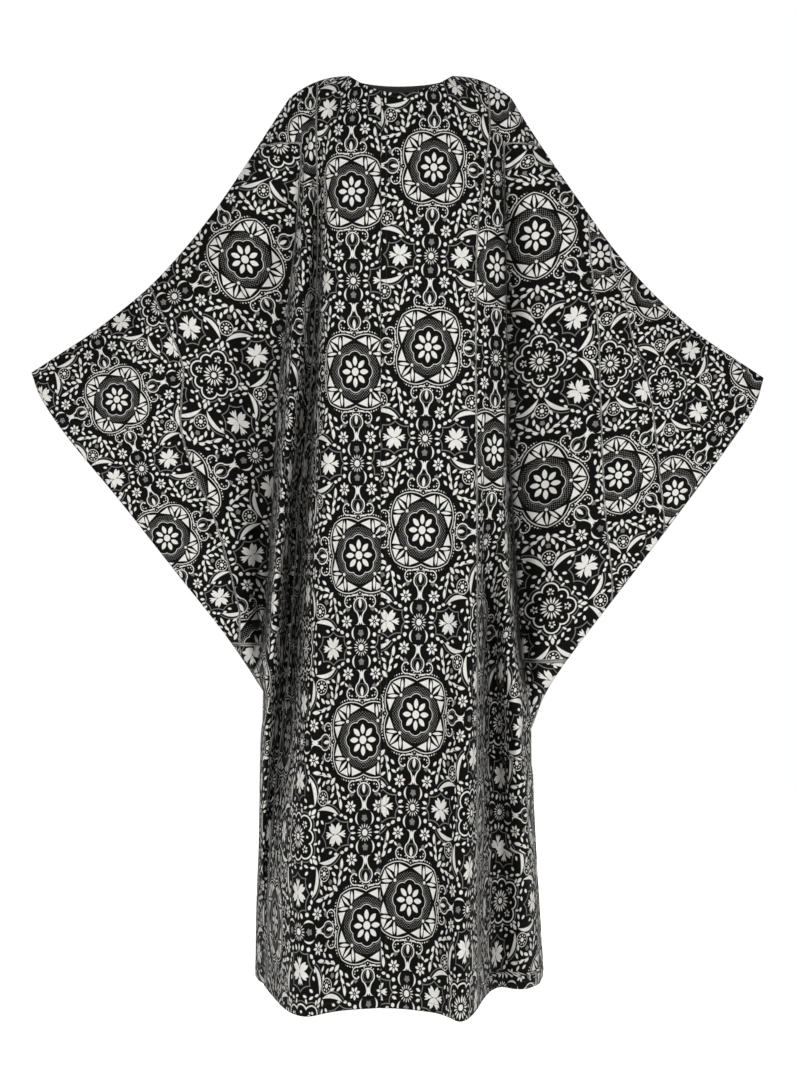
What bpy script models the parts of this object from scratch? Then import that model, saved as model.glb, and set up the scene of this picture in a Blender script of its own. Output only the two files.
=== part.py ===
"""Abaya in a butterfly cut, worn and hollow: two lapped fronts, a back and a back neck facing.

Metres, +Z up, the wearer faces -Y and the wearer's left is at +X. The origin lies level with
the top of the shoulders, midway between the two sides of the neck. Each cloth piece is one
open surface with a Solidify modifier. The surface is a stack of horizontal sections, and a
section is a smooth curve through the garment's named lines, from its middle to its edge.
"""

import bmesh
import bpy
import numpy as np

# Driving sizes in metres
CLOTH = 0.0012
FACING_CLOTH = 0.0010
SEAM_GAP = 0.0003
SHOULDER_HEIGHT = -0.034
HEM_HEIGHT = -1.415
LAP = 0.026
LAP_STEP = CLOTH + 0.0006
LAP_EASE = 0.030
FACING_DEPTH = 0.042
NECK_FRONT_DEPTH = 0.040
NECK_BACK_DEPTH = 0.003
NECK_FRONT_REACH = 0.068
NECK_BACK_REACH = 0.060
CUFF_FULLNESS = 0.032
TOP_BLEND = 0.130

FRONT = -1
BACK = 1
LEFT = 1
RIGHT = -1

# Rows of sections: beside the neck facing, to the wing tip, down the cuff, down the side seam
ROWS = (3, 8, 14, 10)
FACING_ROWS = ROWS[0]
# Points between neighbouring named lines, from the middle to the edge
STEPS = (4, 3, 4, 4, 4, 4, 3, 3)
# Both fronts have points at the same places across their lap
LAP_PLACES = (-LAP, -LAP / 2, 0.0, LAP / 2, LAP)
LAP_END_PLACE = 0.7
LINES = 9
NECK_LINE = 2

# Places on each side: side of the neck, shoulder end, wing tip and bottom of the cuff
SIDE_COLUMNS = ("side", "neck_x", "shoulder_x", "tip_height", "cuff_end_height")
SIDES = (
    (LEFT, 0.0860, 0.1760, -0.470, -1.018),
    (RIGHT, 0.0790, 0.1700, -0.462, -0.958),
)

# Overarm seam, as a share of the way down from the shoulder end to the wing tip
OVERARM_COLUMNS = ("share", "left_x", "right_x")
OVERARM = (
    (0.00, 0.1760, 0.1700),
    (0.10, 0.2022, 0.1981),
    (0.25, 0.2458, 0.2398),
    (0.40, 0.2918, 0.2833),
    (0.55, 0.3393, 0.3337),
    (0.70, 0.3976, 0.3943),
    (0.85, 0.4715, 0.4747),
    (0.93, 0.5230, 0.5264),
    (1.00, 0.5690, 0.5720),
)

# Cuff edge, as a share of the way down from the wing tip to the bottom of the cuff
CUFF_COLUMNS = ("share", "left_x", "right_x")
CUFF = (
    (0.00, 0.5690, 0.5720),
    (0.08, 0.5537, 0.5555),
    (0.20, 0.5091, 0.5144),
    (0.40, 0.4270, 0.4317),
    (0.60, 0.3436, 0.3538),
    (0.80, 0.2617, 0.2767),
    (0.90, 0.2275, 0.2423),
    (1.00, 0.2067, 0.2110),
)

# Side seam, as a share of the way down from the cuff to the hem
SEAM_COLUMNS = ("share", "left_x", "right_x", "seam_y")
SIDE_SEAM = (
    (0.00, 0.2067, 0.2110, 0.000),
    (0.25, 0.2090, 0.2140, 0.015),
    (0.50, 0.2150, 0.2195, 0.035),
    (0.75, 0.2225, 0.2250, 0.052),
    (1.00, 0.2300, 0.2275, 0.065),
)

# How far the middle stands off the middle plane, in front and at the back
CENTRE_COLUMNS = ("height", "front_y", "back_y")
CENTRE = (
    (-0.020, 0.066, 0.060),
    (-0.060, 0.079, 0.076),
    (-0.120, 0.098, 0.092),
    (-0.250, 0.124, 0.106),
    (-0.460, 0.137, 0.110),
    (-0.700, 0.146, 0.114),
    (-0.955, 0.155, 0.122),
    (-1.200, 0.163, 0.132),
    (-1.415, 0.171, 0.142),
)

# The named lines of a half section: mid, ridge, groove, pleat and the root of the wing.
# x runs outwards from the middle, and y outwards from the middle plane.
FOLD_COLUMNS = (
    "height", "mid_x", "mid_y", "ridge_x", "ridge_y", "groove_x", "groove_y",
    "pleat_x", "pleat_y", "root_x", "root_y",
)
FRONT_LEFT = (
    (-0.034, 0.050, 0.060, 0.100, 0.045, 0.122, 0.034, 0.136, 0.026, 0.152, 0.018),
    (-0.120, 0.056, 0.096, 0.112, 0.084, 0.136, 0.074, 0.152, 0.066, 0.168, 0.042),
    (-0.250, 0.062, 0.124, 0.126, 0.108, 0.148, 0.094, 0.163, 0.073, 0.164, 0.024),
    (-0.460, 0.060, 0.138, 0.121, 0.136, 0.146, 0.116, 0.164, 0.088, 0.167, 0.012),
    (-0.700, 0.056, 0.149, 0.110, 0.160, 0.134, 0.122, 0.160, 0.110, 0.180, 0.009),
    (-0.860, 0.054, 0.158, 0.109, 0.176, 0.138, 0.070, 0.166, 0.122, 0.190, 0.010),
    (-1.018, 0.053, 0.166, 0.107, 0.192, 0.143, 0.042, 0.176, 0.108, 0.203, 0.030),
    (-1.200, 0.054, 0.184, 0.103, 0.214, 0.144, 0.044, 0.186, 0.068, 0.206, 0.030),
    (-1.415, 0.058, 0.205, 0.099, 0.243, 0.145, 0.045, 0.187, 0.040, 0.216, 0.008),
)
FRONT_RIGHT = (
    (-0.034, 0.046, 0.060, 0.092, 0.045, 0.112, 0.036, 0.128, 0.028, 0.146, 0.020),
    (-0.120, 0.050, 0.096, 0.100, 0.086, 0.124, 0.066, 0.137, 0.072, 0.152, 0.046),
    (-0.250, 0.054, 0.123, 0.106, 0.110, 0.122, 0.052, 0.140, 0.080, 0.166, 0.026),
    (-0.460, 0.056, 0.138, 0.110, 0.134, 0.133, 0.034, 0.157, 0.104, 0.193, 0.013),
    (-0.700, 0.060, 0.148, 0.119, 0.156, 0.156, 0.024, 0.177, 0.124, 0.203, 0.009),
    (-0.860, 0.064, 0.155, 0.126, 0.168, 0.166, 0.024, 0.187, 0.128, 0.210, 0.010),
    (-0.958, 0.068, 0.160, 0.132, 0.175, 0.171, 0.026, 0.193, 0.122, 0.211, 0.030),
    (-1.200, 0.078, 0.172, 0.146, 0.194, 0.197, 0.048, 0.208, 0.046, 0.217, 0.006),
    (-1.415, 0.084, 0.186, 0.150, 0.213, 0.203, 0.040, 0.209, 0.004, 0.219, -0.022),
)
BACK_LEFT = (
    (-0.034, 0.048, 0.056, 0.098, 0.042, 0.118, 0.032, 0.134, 0.024, 0.152, 0.018),
    (-0.120, 0.052, 0.092, 0.106, 0.082, 0.130, 0.068, 0.146, 0.062, 0.166, 0.042),
    (-0.250, 0.056, 0.107, 0.112, 0.100, 0.134, 0.064, 0.152, 0.074, 0.170, 0.026),
    (-0.460, 0.058, 0.112, 0.116, 0.114, 0.140, 0.042, 0.160, 0.092, 0.176, 0.014),
    (-0.700, 0.060, 0.118, 0.120, 0.130, 0.150, 0.028, 0.168, 0.108, 0.186, 0.010),
    (-0.860, 0.062, 0.126, 0.124, 0.142, 0.156, 0.026, 0.176, 0.114, 0.194, 0.012),
    (-1.018, 0.064, 0.133, 0.128, 0.154, 0.162, 0.034, 0.186, 0.108, 0.206, 0.034),
    (-1.200, 0.067, 0.146, 0.134, 0.172, 0.176, 0.082, 0.204, 0.112, 0.218, 0.078),
    (-1.415, 0.078, 0.168, 0.141, 0.190, 0.188, 0.116, 0.216, 0.140, 0.232, 0.108),
)
BACK_RIGHT = (
    (-0.034, 0.044, 0.056, 0.090, 0.042, 0.110, 0.034, 0.126, 0.026, 0.146, 0.020),
    (-0.120, 0.048, 0.092, 0.098, 0.082, 0.122, 0.070, 0.138, 0.060, 0.158, 0.044),
    (-0.250, 0.052, 0.108, 0.106, 0.102, 0.128, 0.070, 0.146, 0.068, 0.168, 0.028),
    (-0.460, 0.055, 0.114, 0.112, 0.118, 0.138, 0.048, 0.160, 0.088, 0.190, 0.014),
    (-0.700, 0.058, 0.120, 0.118, 0.134, 0.152, 0.030, 0.174, 0.106, 0.202, 0.010),
    (-0.860, 0.060, 0.128, 0.122, 0.146, 0.160, 0.026, 0.184, 0.116, 0.209, 0.012),
    (-0.958, 0.062, 0.133, 0.126, 0.154, 0.166, 0.030, 0.191, 0.114, 0.211, 0.032),
    (-1.200, 0.070, 0.150, 0.142, 0.176, 0.184, 0.098, 0.208, 0.122, 0.220, 0.088),
    (-1.415, 0.086, 0.176, 0.153, 0.196, 0.192, 0.132, 0.216, 0.156, 0.230, 0.118),
)
FOLDS = {
    (FRONT, LEFT): FRONT_LEFT,
    (FRONT, RIGHT): FRONT_RIGHT,
    (BACK, LEFT): BACK_LEFT,
    (BACK, RIGHT): BACK_RIGHT,
}

# How far a wing layer stands off the middle plane, beside its root and half way out
WING_COLUMNS = ("height", "near_y", "middle_y")
WING = (
    (-0.034, 0.016, 0.010),
    (-0.120, 0.046, 0.034),
    (-0.250, 0.044, 0.038),
    (-0.460, 0.036, 0.036),
    (-0.700, 0.032, 0.034),
    (-0.860, 0.026, 0.028),
    (-1.018, 0.020, 0.022),
)
WING_NEAR = 0.26
WING_MIDDLE = 0.62

# Finish of each cloth
PRINTED_CLOTH = {"name": "printed_cloth", "colour": (0.105, 0.104, 0.100), "roughness": 0.78}
PLAIN_CLOTH = {"name": "plain_cloth", "colour": (0.024, 0.024, 0.023), "roughness": 0.85}


def smooth(value):
    """Eased step from 0 to 1."""
    s = np.clip(value, 0.0, 1.0)
    return s * s * (3 - 2 * s)


def mix(first, second, share):
    return first + (second - first) * share


def track(table, columns, name, places):
    """A named column at each place, as a smooth curve through the rows of its table."""
    order = np.argsort([row[0] for row in table])
    knots = np.array([table[k][0] for k in order])
    values = np.array([table[k][columns.index(name)] for k in order])
    places = np.clip(places, knots[0], knots[-1])
    padded_knots = np.concatenate(([knots[0]], knots, [knots[-1]]))
    padded_values = np.concatenate(([values[0]], values, [values[-1]]))
    slopes = (padded_values[2:] - padded_values[:-2]) / (padded_knots[2:] - padded_knots[:-2])
    k = np.clip(np.searchsorted(knots, places) - 1, 0, len(knots) - 2)
    span = knots[k + 1] - knots[k]
    s = (places - knots[k]) / span
    start = (2 * s**3 - 3 * s**2 + 1) * values[k] + (s**3 - 2 * s**2 + s) * span * slopes[k]
    end = (3 * s**2 - 2 * s**3) * values[k + 1] + (s**3 - s**2) * span * slopes[k + 1]
    return start + end


def side_size(side, name):
    """One size of one side, from the table of places."""
    row = SIDES[0] if side == LEFT else SIDES[1]
    return row[SIDE_COLUMNS.index(name)]


def side_x(side):
    return "left_x" if side == LEFT else "right_x"


def seam_offset(lean):
    """Half the distance between two layers at their seam: lean is 1 where they lie flat together."""
    return SEAM_GAP / 2 + CLOTH / 2 * lean


def edge_line(side, layer, heights):
    """Outer end of the sections: overarm seam, open cuff edge, then side seam."""
    tip = side_size(side, "tip_height")
    cuff_end = side_size(side, "cuff_end_height")
    above = (SHOULDER_HEIGHT - heights) / (SHOULDER_HEIGHT - tip)
    beside = (tip - heights) / (tip - cuff_end)
    below = (cuff_end - heights) / (cuff_end - HEM_HEIGHT)
    name = side_x(side)
    x = np.where(
        heights >= tip,
        track(OVERARM, OVERARM_COLUMNS, name, above),
        np.where(
            heights >= cuff_end,
            track(CUFF, CUFF_COLUMNS, name, beside),
            track(SIDE_SEAM, SEAM_COLUMNS, name, below),
        ),
    )
    opening = CUFF_FULLNESS * np.sin(np.pi * np.clip(beside, 0, 1)) ** 0.85
    seam = track(SIDE_SEAM, SEAM_COLUMNS, "seam_y", below) * np.where(below > 0, 1, 0)
    lean = mix(1.0, 0.4, smooth(below * 6))
    y = seam_offset(lean) + opening + layer * seam
    return x, y


def named_lines(side, layer, heights):
    """The named lines of one half at each height, as arrays (line, place, x or y)."""
    table = FOLDS[layer, side]
    fold = {name: track(table, FOLD_COLUMNS, name, heights) for name in FOLD_COLUMNS[1:]}
    cuff_end = side_size(side, "cuff_end_height")
    edge_x, edge_y = edge_line(side, layer, heights)
    centre_y = "front_y" if layer == FRONT else "back_y"
    start_x = np.zeros_like(heights)
    start_y = track(CENTRE, CENTRE_COLUMNS, centre_y, heights)
    # Beside the cuff the last lines belong to the wing
    wing = edge_x - fold["root_x"]
    near_y = track(WING, WING_COLUMNS, "near_y", heights) + 0.2 * edge_y
    middle_y = track(WING, WING_COLUMNS, "middle_y", heights) + 0.4 * edge_y
    upper = (
        (fold["root_x"], fold["root_y"]),
        (fold["root_x"] + WING_NEAR * wing, near_y),
        (fold["root_x"] + WING_MIDDLE * wing, middle_y),
    )
    # Below it they share the way from the pleat to the side seam
    below = smooth((cuff_end - heights) / 0.08)
    turn_x = mix(mix(fold["pleat_x"], edge_x, 0.50), fold["root_x"], below)
    turn_y = mix(mix(fold["pleat_y"], edge_y, 0.42), fold["root_y"], below)
    lower = (
        (turn_x, turn_y),
        (mix(turn_x, edge_x, 0.50), mix(turn_y, edge_y, 0.40)),
        (mix(turn_x, edge_x, 0.80), mix(turn_y, edge_y, 0.73)),
    )
    wing_share = smooth((heights - cuff_end) / 0.11)
    ends = []
    for low, high in zip(lower, upper):
        ends.append((mix(low[0], high[0], wing_share), mix(low[1], high[1], wing_share)))
    lines = [
        (start_x, start_y),
        (fold["mid_x"], fold["mid_y"]),
        (fold["ridge_x"], fold["ridge_y"]),
        (fold["groove_x"], fold["groove_y"]),
        (fold["pleat_x"], fold["pleat_y"]),
        *ends,
        (edge_x, edge_y),
    ]
    return np.array([np.stack(line, axis=-1) for line in lines])


def front_middle(x, heights):
    """Shared form of both fronts where they lap: y outwards at a signed x."""
    middle = track(CENTRE, CENTRE_COLUMNS, "front_y", heights)
    left_x = track(FRONT_LEFT, FOLD_COLUMNS, "mid_x", heights)
    right_x = -track(FRONT_RIGHT, FOLD_COLUMNS, "mid_x", heights)
    left_rise = (track(FRONT_LEFT, FOLD_COLUMNS, "mid_y", heights) - middle) / left_x
    right_rise = (track(FRONT_RIGHT, FOLD_COLUMNS, "mid_y", heights) - middle) / right_x
    bend = (left_rise - right_rise) / (left_x - right_x)
    slope = left_rise - bend * left_x
    return middle + slope * x + bend * x * x


def curve_through(points, places):
    """Smooth curve through the named lines: points (line, n, 2), one place for each of the n."""
    count = len(points)
    weights = np.zeros((count, count))
    weights[0, 0] = 1.0
    weights[-1, -1] = 1.0
    for k in range(1, count - 1):
        weights[k, k - 1:k + 2] = (0.125, 0.75, 0.125)
    control = np.linalg.solve(weights, points.reshape(count, -1)).reshape(points.shape)
    first = 2 * control[:1] - control[1:2]
    last = 2 * control[-1:] - control[-2:-1]
    control = np.concatenate((first, control, last))
    k = np.clip(np.rint(places), 0, count - 1).astype(int)
    f = (places - k)[:, None]
    at = np.arange(len(places))
    before, here, after = control[k, at], control[k + 1, at], control[k + 2, at]
    return 0.5 * (0.5 - f) ** 2 * before + (0.75 - f * f) * here + 0.5 * (0.5 + f) ** 2 * after


def neckline(side, layer, angle):
    """Neck edge at an angle: 0 in the middle, a right angle at the side of the neck."""
    x = side_size(side, "neck_x") * np.sin(angle)
    turn = np.cos(angle)
    if layer == FRONT:
        return x, NECK_FRONT_REACH * turn, -NECK_FRONT_DEPTH * turn**1.8
    return x, NECK_BACK_REACH * turn, -NECK_BACK_DEPTH * turn**1.8


def top_line(side, layer, places):
    """Top edge of a half: the neckline, then the shoulder seam, as x, y, z outwards."""
    neck_x = side_size(side, "neck_x")
    shoulder_x = side_size(side, "shoulder_x")
    on_neck = neckline(side, layer, np.pi / 2 * np.clip(places / NECK_LINE, 0, 1))
    share = np.clip((places - NECK_LINE) / (LINES - 1 - NECK_LINE), 0, 1)
    seam_y = seam_offset(mix(0.75, 1.0, share))
    x = np.where(places < NECK_LINE, on_neck[0], mix(neck_x, shoulder_x, share))
    y = np.where(places < NECK_LINE, np.maximum(on_neck[1], seam_y), seam_y)
    z = np.where(places < NECK_LINE, on_neck[2], SHOULDER_HEIGHT * share**2.2)
    return np.stack((x, y, z), axis=-1)


def row_heights(side):
    """Heights at the outer end of each section, with rows at the wing tip and the cuff's end."""
    stops = (
        SHOULDER_HEIGHT,
        SHOULDER_HEIGHT - FACING_DEPTH,
        side_size(side, "tip_height"),
        side_size(side, "cuff_end_height"),
        HEM_HEIGHT,
    )
    heights = [np.array([SHOULDER_HEIGHT])]
    for count, top, bottom in zip(ROWS, stops, stops[1:]):
        heights.append(np.linspace(top, bottom, count + 1)[1:])
    return np.concatenate(heights)


def half_surface(side, layer, places, levels):
    """Points of one half at places across and levels down, as an array (level, place, xyz)."""
    rows = np.arange(len(row_heights(side)))
    outer = np.interp(levels, rows, row_heights(side))
    middle = np.interp(levels, rows, (row_heights(LEFT) + row_heights(RIGHT)) / 2)
    across, down = np.meshgrid(places, levels)
    share = smooth(across / 3)
    heights = mix(middle[:, None], outer[:, None], share)
    flat_places = across.ravel()
    flat_heights = heights.ravel()
    section = curve_through(named_lines(side, layer, flat_heights), flat_places)
    section = share_middle(section, side, layer, flat_heights)
    start = np.full_like(flat_heights, SHOULDER_HEIGHT)
    at_top = curve_through(named_lines(side, layer, start), flat_places)
    at_top = share_middle(at_top, side, layer, start)
    top = top_line(side, layer, flat_places)
    fade = top_fade(flat_heights)
    x = section[:, 0] + (top[:, 0] - at_top[:, 0]) * fade
    y = section[:, 1] + (top[:, 1] - at_top[:, 1]) * shoulder_fade(flat_heights)
    z = flat_heights + (top[:, 2] - SHOULDER_HEIGHT) * fade
    if layer == FRONT and side == LEFT:
        y = y + LAP_STEP * (1 - smooth((x - LAP) / LAP_EASE))
    points = np.stack((side * x, layer * y, z), axis=-1)
    return points.reshape(len(levels), len(places), 3)


def top_fade(heights):
    """Share of the top edge's form at a height: 1 at the top, 0 below the shoulders."""
    return 1 - smooth((SHOULDER_HEIGHT - heights) / TOP_BLEND)


def shoulder_fade(heights):
    """The same share for y, which drops faster so that the shoulders are round."""
    return (1 - np.clip((SHOULDER_HEIGHT - heights) / TOP_BLEND, 0, 1)) ** 5


def lap_surface(side, levels):
    """Points of a front where the two fronts lie on each other: the left one is on top."""
    rows = np.arange(len(row_heights(side)))
    heights = np.interp(levels, rows, (row_heights(LEFT) + row_heights(RIGHT)) / 2)
    columns = []
    for x in LAP_PLACES:
        own_side = LEFT if x > 0 else RIGHT
        angle = np.arcsin(abs(x) / side_size(own_side, "neck_x"))
        _, neck_y, neck_z = neckline(own_side, FRONT, angle)
        across = np.full_like(heights, x)
        start_y = front_middle(across, np.full_like(heights, SHOULDER_HEIGHT))
        fade = top_fade(heights)
        y = front_middle(across, heights) + (neck_y - start_y) * shoulder_fade(heights)
        z = heights + (neck_z - SHOULDER_HEIGHT) * fade
        step = LAP_STEP if side == LEFT else 0.0
        columns.append(np.stack((across, FRONT * (y + step), z), axis=-1))
    return np.stack(columns, axis=1)


def share_middle(section, side, layer, heights):
    """Give both fronts the same form where they lap."""
    if layer == BACK:
        return section
    shared = front_middle(side * section[:, 0], heights)
    weight = 1 - smooth((np.abs(section[:, 0]) - 0.036) / 0.030)
    section[:, 1] = mix(section[:, 1], shared, weight)
    return section


def half_places():
    """Places across a half section, closer together on the folds than on the wing."""
    places = [0.0]
    for line, steps in enumerate(STEPS):
        for step in range(steps):
            places.append(line + (step + 1) / steps)
    return np.array(places)


def front_points(side):
    """Points of a front, from the wearer's right to the wearer's left, lap included."""
    levels = np.arange(sum(ROWS) + 1)
    places = half_places()
    own = half_surface(side, FRONT, places[places > LAP_END_PLACE], levels)
    lap = lap_surface(side, levels)
    if side == LEFT:
        return np.concatenate((lap, own), axis=1)
    return np.concatenate((own[:, ::-1], lap), axis=1)


def back_points(places, levels):
    """Points of the back, from the wearer's right to the wearer's left."""
    right = half_surface(RIGHT, BACK, places, levels)[:, ::-1]
    left = half_surface(LEFT, BACK, places, levels)
    return np.concatenate((right, left[:, 1:]), axis=1)


def facing_points():
    """Points of the facing: those of the back below the neck, moved to its inner side."""
    places = [place for place in half_places() if place < NECK_LINE]
    points = back_points(np.array(places), np.arange(FACING_ROWS + 1))
    along = np.gradient(points, axis=1)
    down = np.gradient(points, axis=0)
    outwards = np.cross(along, down)
    outwards /= np.linalg.norm(outwards, axis=-1, keepdims=True)
    return points - outwards * ((CLOTH + FACING_CLOTH) / 2 + SEAM_GAP)


def new_material(finish):
    """Principled material with one colour and roughness."""
    material = bpy.data.materials.get(finish["name"]) or bpy.data.materials.new(finish["name"])
    material.use_nodes = True
    shader = material.node_tree.nodes["Principled BSDF"]
    shader.inputs["Base Color"].default_value = (*finish["colour"], 1.0)
    shader.inputs["Roughness"].default_value = finish["roughness"]
    shader.inputs["Metallic"].default_value = 0.0
    return material


def cloth_piece(name, points, thickness, finish, collection):
    """One cloth piece: an open grid through the points, with a wall of even thickness."""
    rows, columns, _ = points.shape
    surface = bmesh.new()
    vertices = [[surface.verts.new(point) for point in row] for row in points]
    for r in range(rows - 1):
        for c in range(columns - 1):
            corners = (
                vertices[r][c], vertices[r + 1][c], vertices[r + 1][c + 1], vertices[r][c + 1],
            )
            surface.faces.new(corners)
    mesh = bpy.data.meshes.new(name)
    surface.to_mesh(mesh)
    surface.free()
    piece = bpy.data.objects.new(name, mesh)
    collection.objects.link(piece)
    mesh.materials.append(new_material(finish))
    wall = piece.modifiers.new("wall", "SOLIDIFY")
    wall.thickness = thickness
    wall.offset = 0.0
    wall.use_even_offset = True
    wall.use_rim = True
    return piece


def build():
    """Clear the scene and model every piece of the garment."""
    for item in list(bpy.data.objects):
        bpy.data.objects.remove(item)
    collection = bpy.data.collections.new("abaya")
    bpy.context.scene.collection.children.link(collection)
    cloth_piece("front_left", front_points(LEFT), CLOTH, PRINTED_CLOTH, collection)
    cloth_piece("front_right", front_points(RIGHT), CLOTH, PRINTED_CLOTH, collection)
    levels = np.arange(sum(ROWS) + 1)
    cloth_piece("back", back_points(half_places(), levels), CLOTH, PRINTED_CLOTH, collection)
    cloth_piece("back_neck_facing", facing_points(), FACING_CLOTH, PLAIN_CLOTH, collection)


build()
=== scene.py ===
"""Dresses the abaya: fine cloth shells with soft folds, the printed weave, seams and hems.

Metres, +Z up, the wearer faces -Y and the wearer's left is at +X. The origin lies level with
the top of the shoulders, midway between the two sides of the neck.
"""

from __future__ import annotations

import logging
import math
from dataclasses import dataclass, field
from enum import Enum
from typing import Mapping, Sequence, Union

import bpy
import numpy as np
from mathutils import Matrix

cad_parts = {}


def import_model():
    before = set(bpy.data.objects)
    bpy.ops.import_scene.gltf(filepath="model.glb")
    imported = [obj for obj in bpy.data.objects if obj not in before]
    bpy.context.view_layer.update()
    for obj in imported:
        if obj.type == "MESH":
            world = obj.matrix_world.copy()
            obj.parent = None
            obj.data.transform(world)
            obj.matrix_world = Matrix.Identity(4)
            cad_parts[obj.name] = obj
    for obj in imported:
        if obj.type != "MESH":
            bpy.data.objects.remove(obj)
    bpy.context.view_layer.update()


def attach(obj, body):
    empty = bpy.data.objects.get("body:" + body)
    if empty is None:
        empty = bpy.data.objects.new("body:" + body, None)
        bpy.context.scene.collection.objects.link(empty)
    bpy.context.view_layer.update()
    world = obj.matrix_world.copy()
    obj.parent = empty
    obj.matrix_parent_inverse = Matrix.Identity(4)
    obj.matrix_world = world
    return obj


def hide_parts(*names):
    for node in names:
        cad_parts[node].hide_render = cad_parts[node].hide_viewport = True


LOG = logging.getLogger("abaya")


class Layer(Enum):
    """The two layers of the garment, with the sign of their side of the middle plane."""

    FRONT = -1
    BACK = 1


class Side(Enum):
    """The wearer's sides, with the sign of x."""

    LEFT = 1
    RIGHT = -1


def smooth(value: np.ndarray) -> np.ndarray:
    """Ease a share.

    Args:
        value: Shares, also outside 0 to 1.

    Returns:
        Eased steps from 0 to 1.
    """
    s = np.clip(value, 0.0, 1.0)
    return s * s * (3 - 2 * s)


def mix(first: np.ndarray, second: np.ndarray, share: np.ndarray) -> np.ndarray:
    """Go a share of the way from the first value to the second.

    Args:
        first: Values at share 0.
        second: Values at share 1.
        share: Share of the second.

    Returns:
        The mixed values.
    """
    return first + (second - first) * share


@dataclass(frozen=True)
class Table:
    """Sizes in rows under named columns, the first of which is the place of the row."""

    columns: tuple[str, ...]
    rows: tuple[tuple[float, ...], ...]

    def track(self, name: str, places: np.ndarray) -> np.ndarray:
        """Follow one column as a smooth curve.

        Args:
            name: The column.
            places: Where its values are wanted.

        Returns:
            One value for each place.
        """
        order = np.argsort([row[0] for row in self.rows])
        knots = np.array([self.rows[k][0] for k in order])
        values = np.array([self.rows[k][self.columns.index(name)] for k in order])
        places = np.clip(places, knots[0], knots[-1])
        around = np.concatenate(([knots[0]], knots, [knots[-1]]))
        levels = np.concatenate(([values[0]], values, [values[-1]]))
        slopes = (levels[2:] - levels[:-2]) / (around[2:] - around[:-2])
        k = np.clip(np.searchsorted(knots, places) - 1, 0, len(knots) - 2)
        span = knots[k + 1] - knots[k]
        s = (places - knots[k]) / span
        start = (2 * s**3 - 3 * s**2 + 1) * values[k] + (s**3 - 2 * s**2 + s) * span * slopes[k]
        end = (3 * s**2 - 2 * s**3) * values[k + 1] + (s**3 - s**2) * span * slopes[k + 1]
        return start + end


@dataclass(frozen=True)
class SideSizes:
    """Places on one side of the garment."""

    neck_x: float
    shoulder_x: float
    tip_height: float
    cuff_end_height: float


FOLD_COLUMNS = (
    "height", "mid_x", "mid_y", "ridge_x", "ridge_y", "groove_x", "groove_y",
    "pleat_x", "pleat_y", "root_x", "root_y",
)


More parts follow.
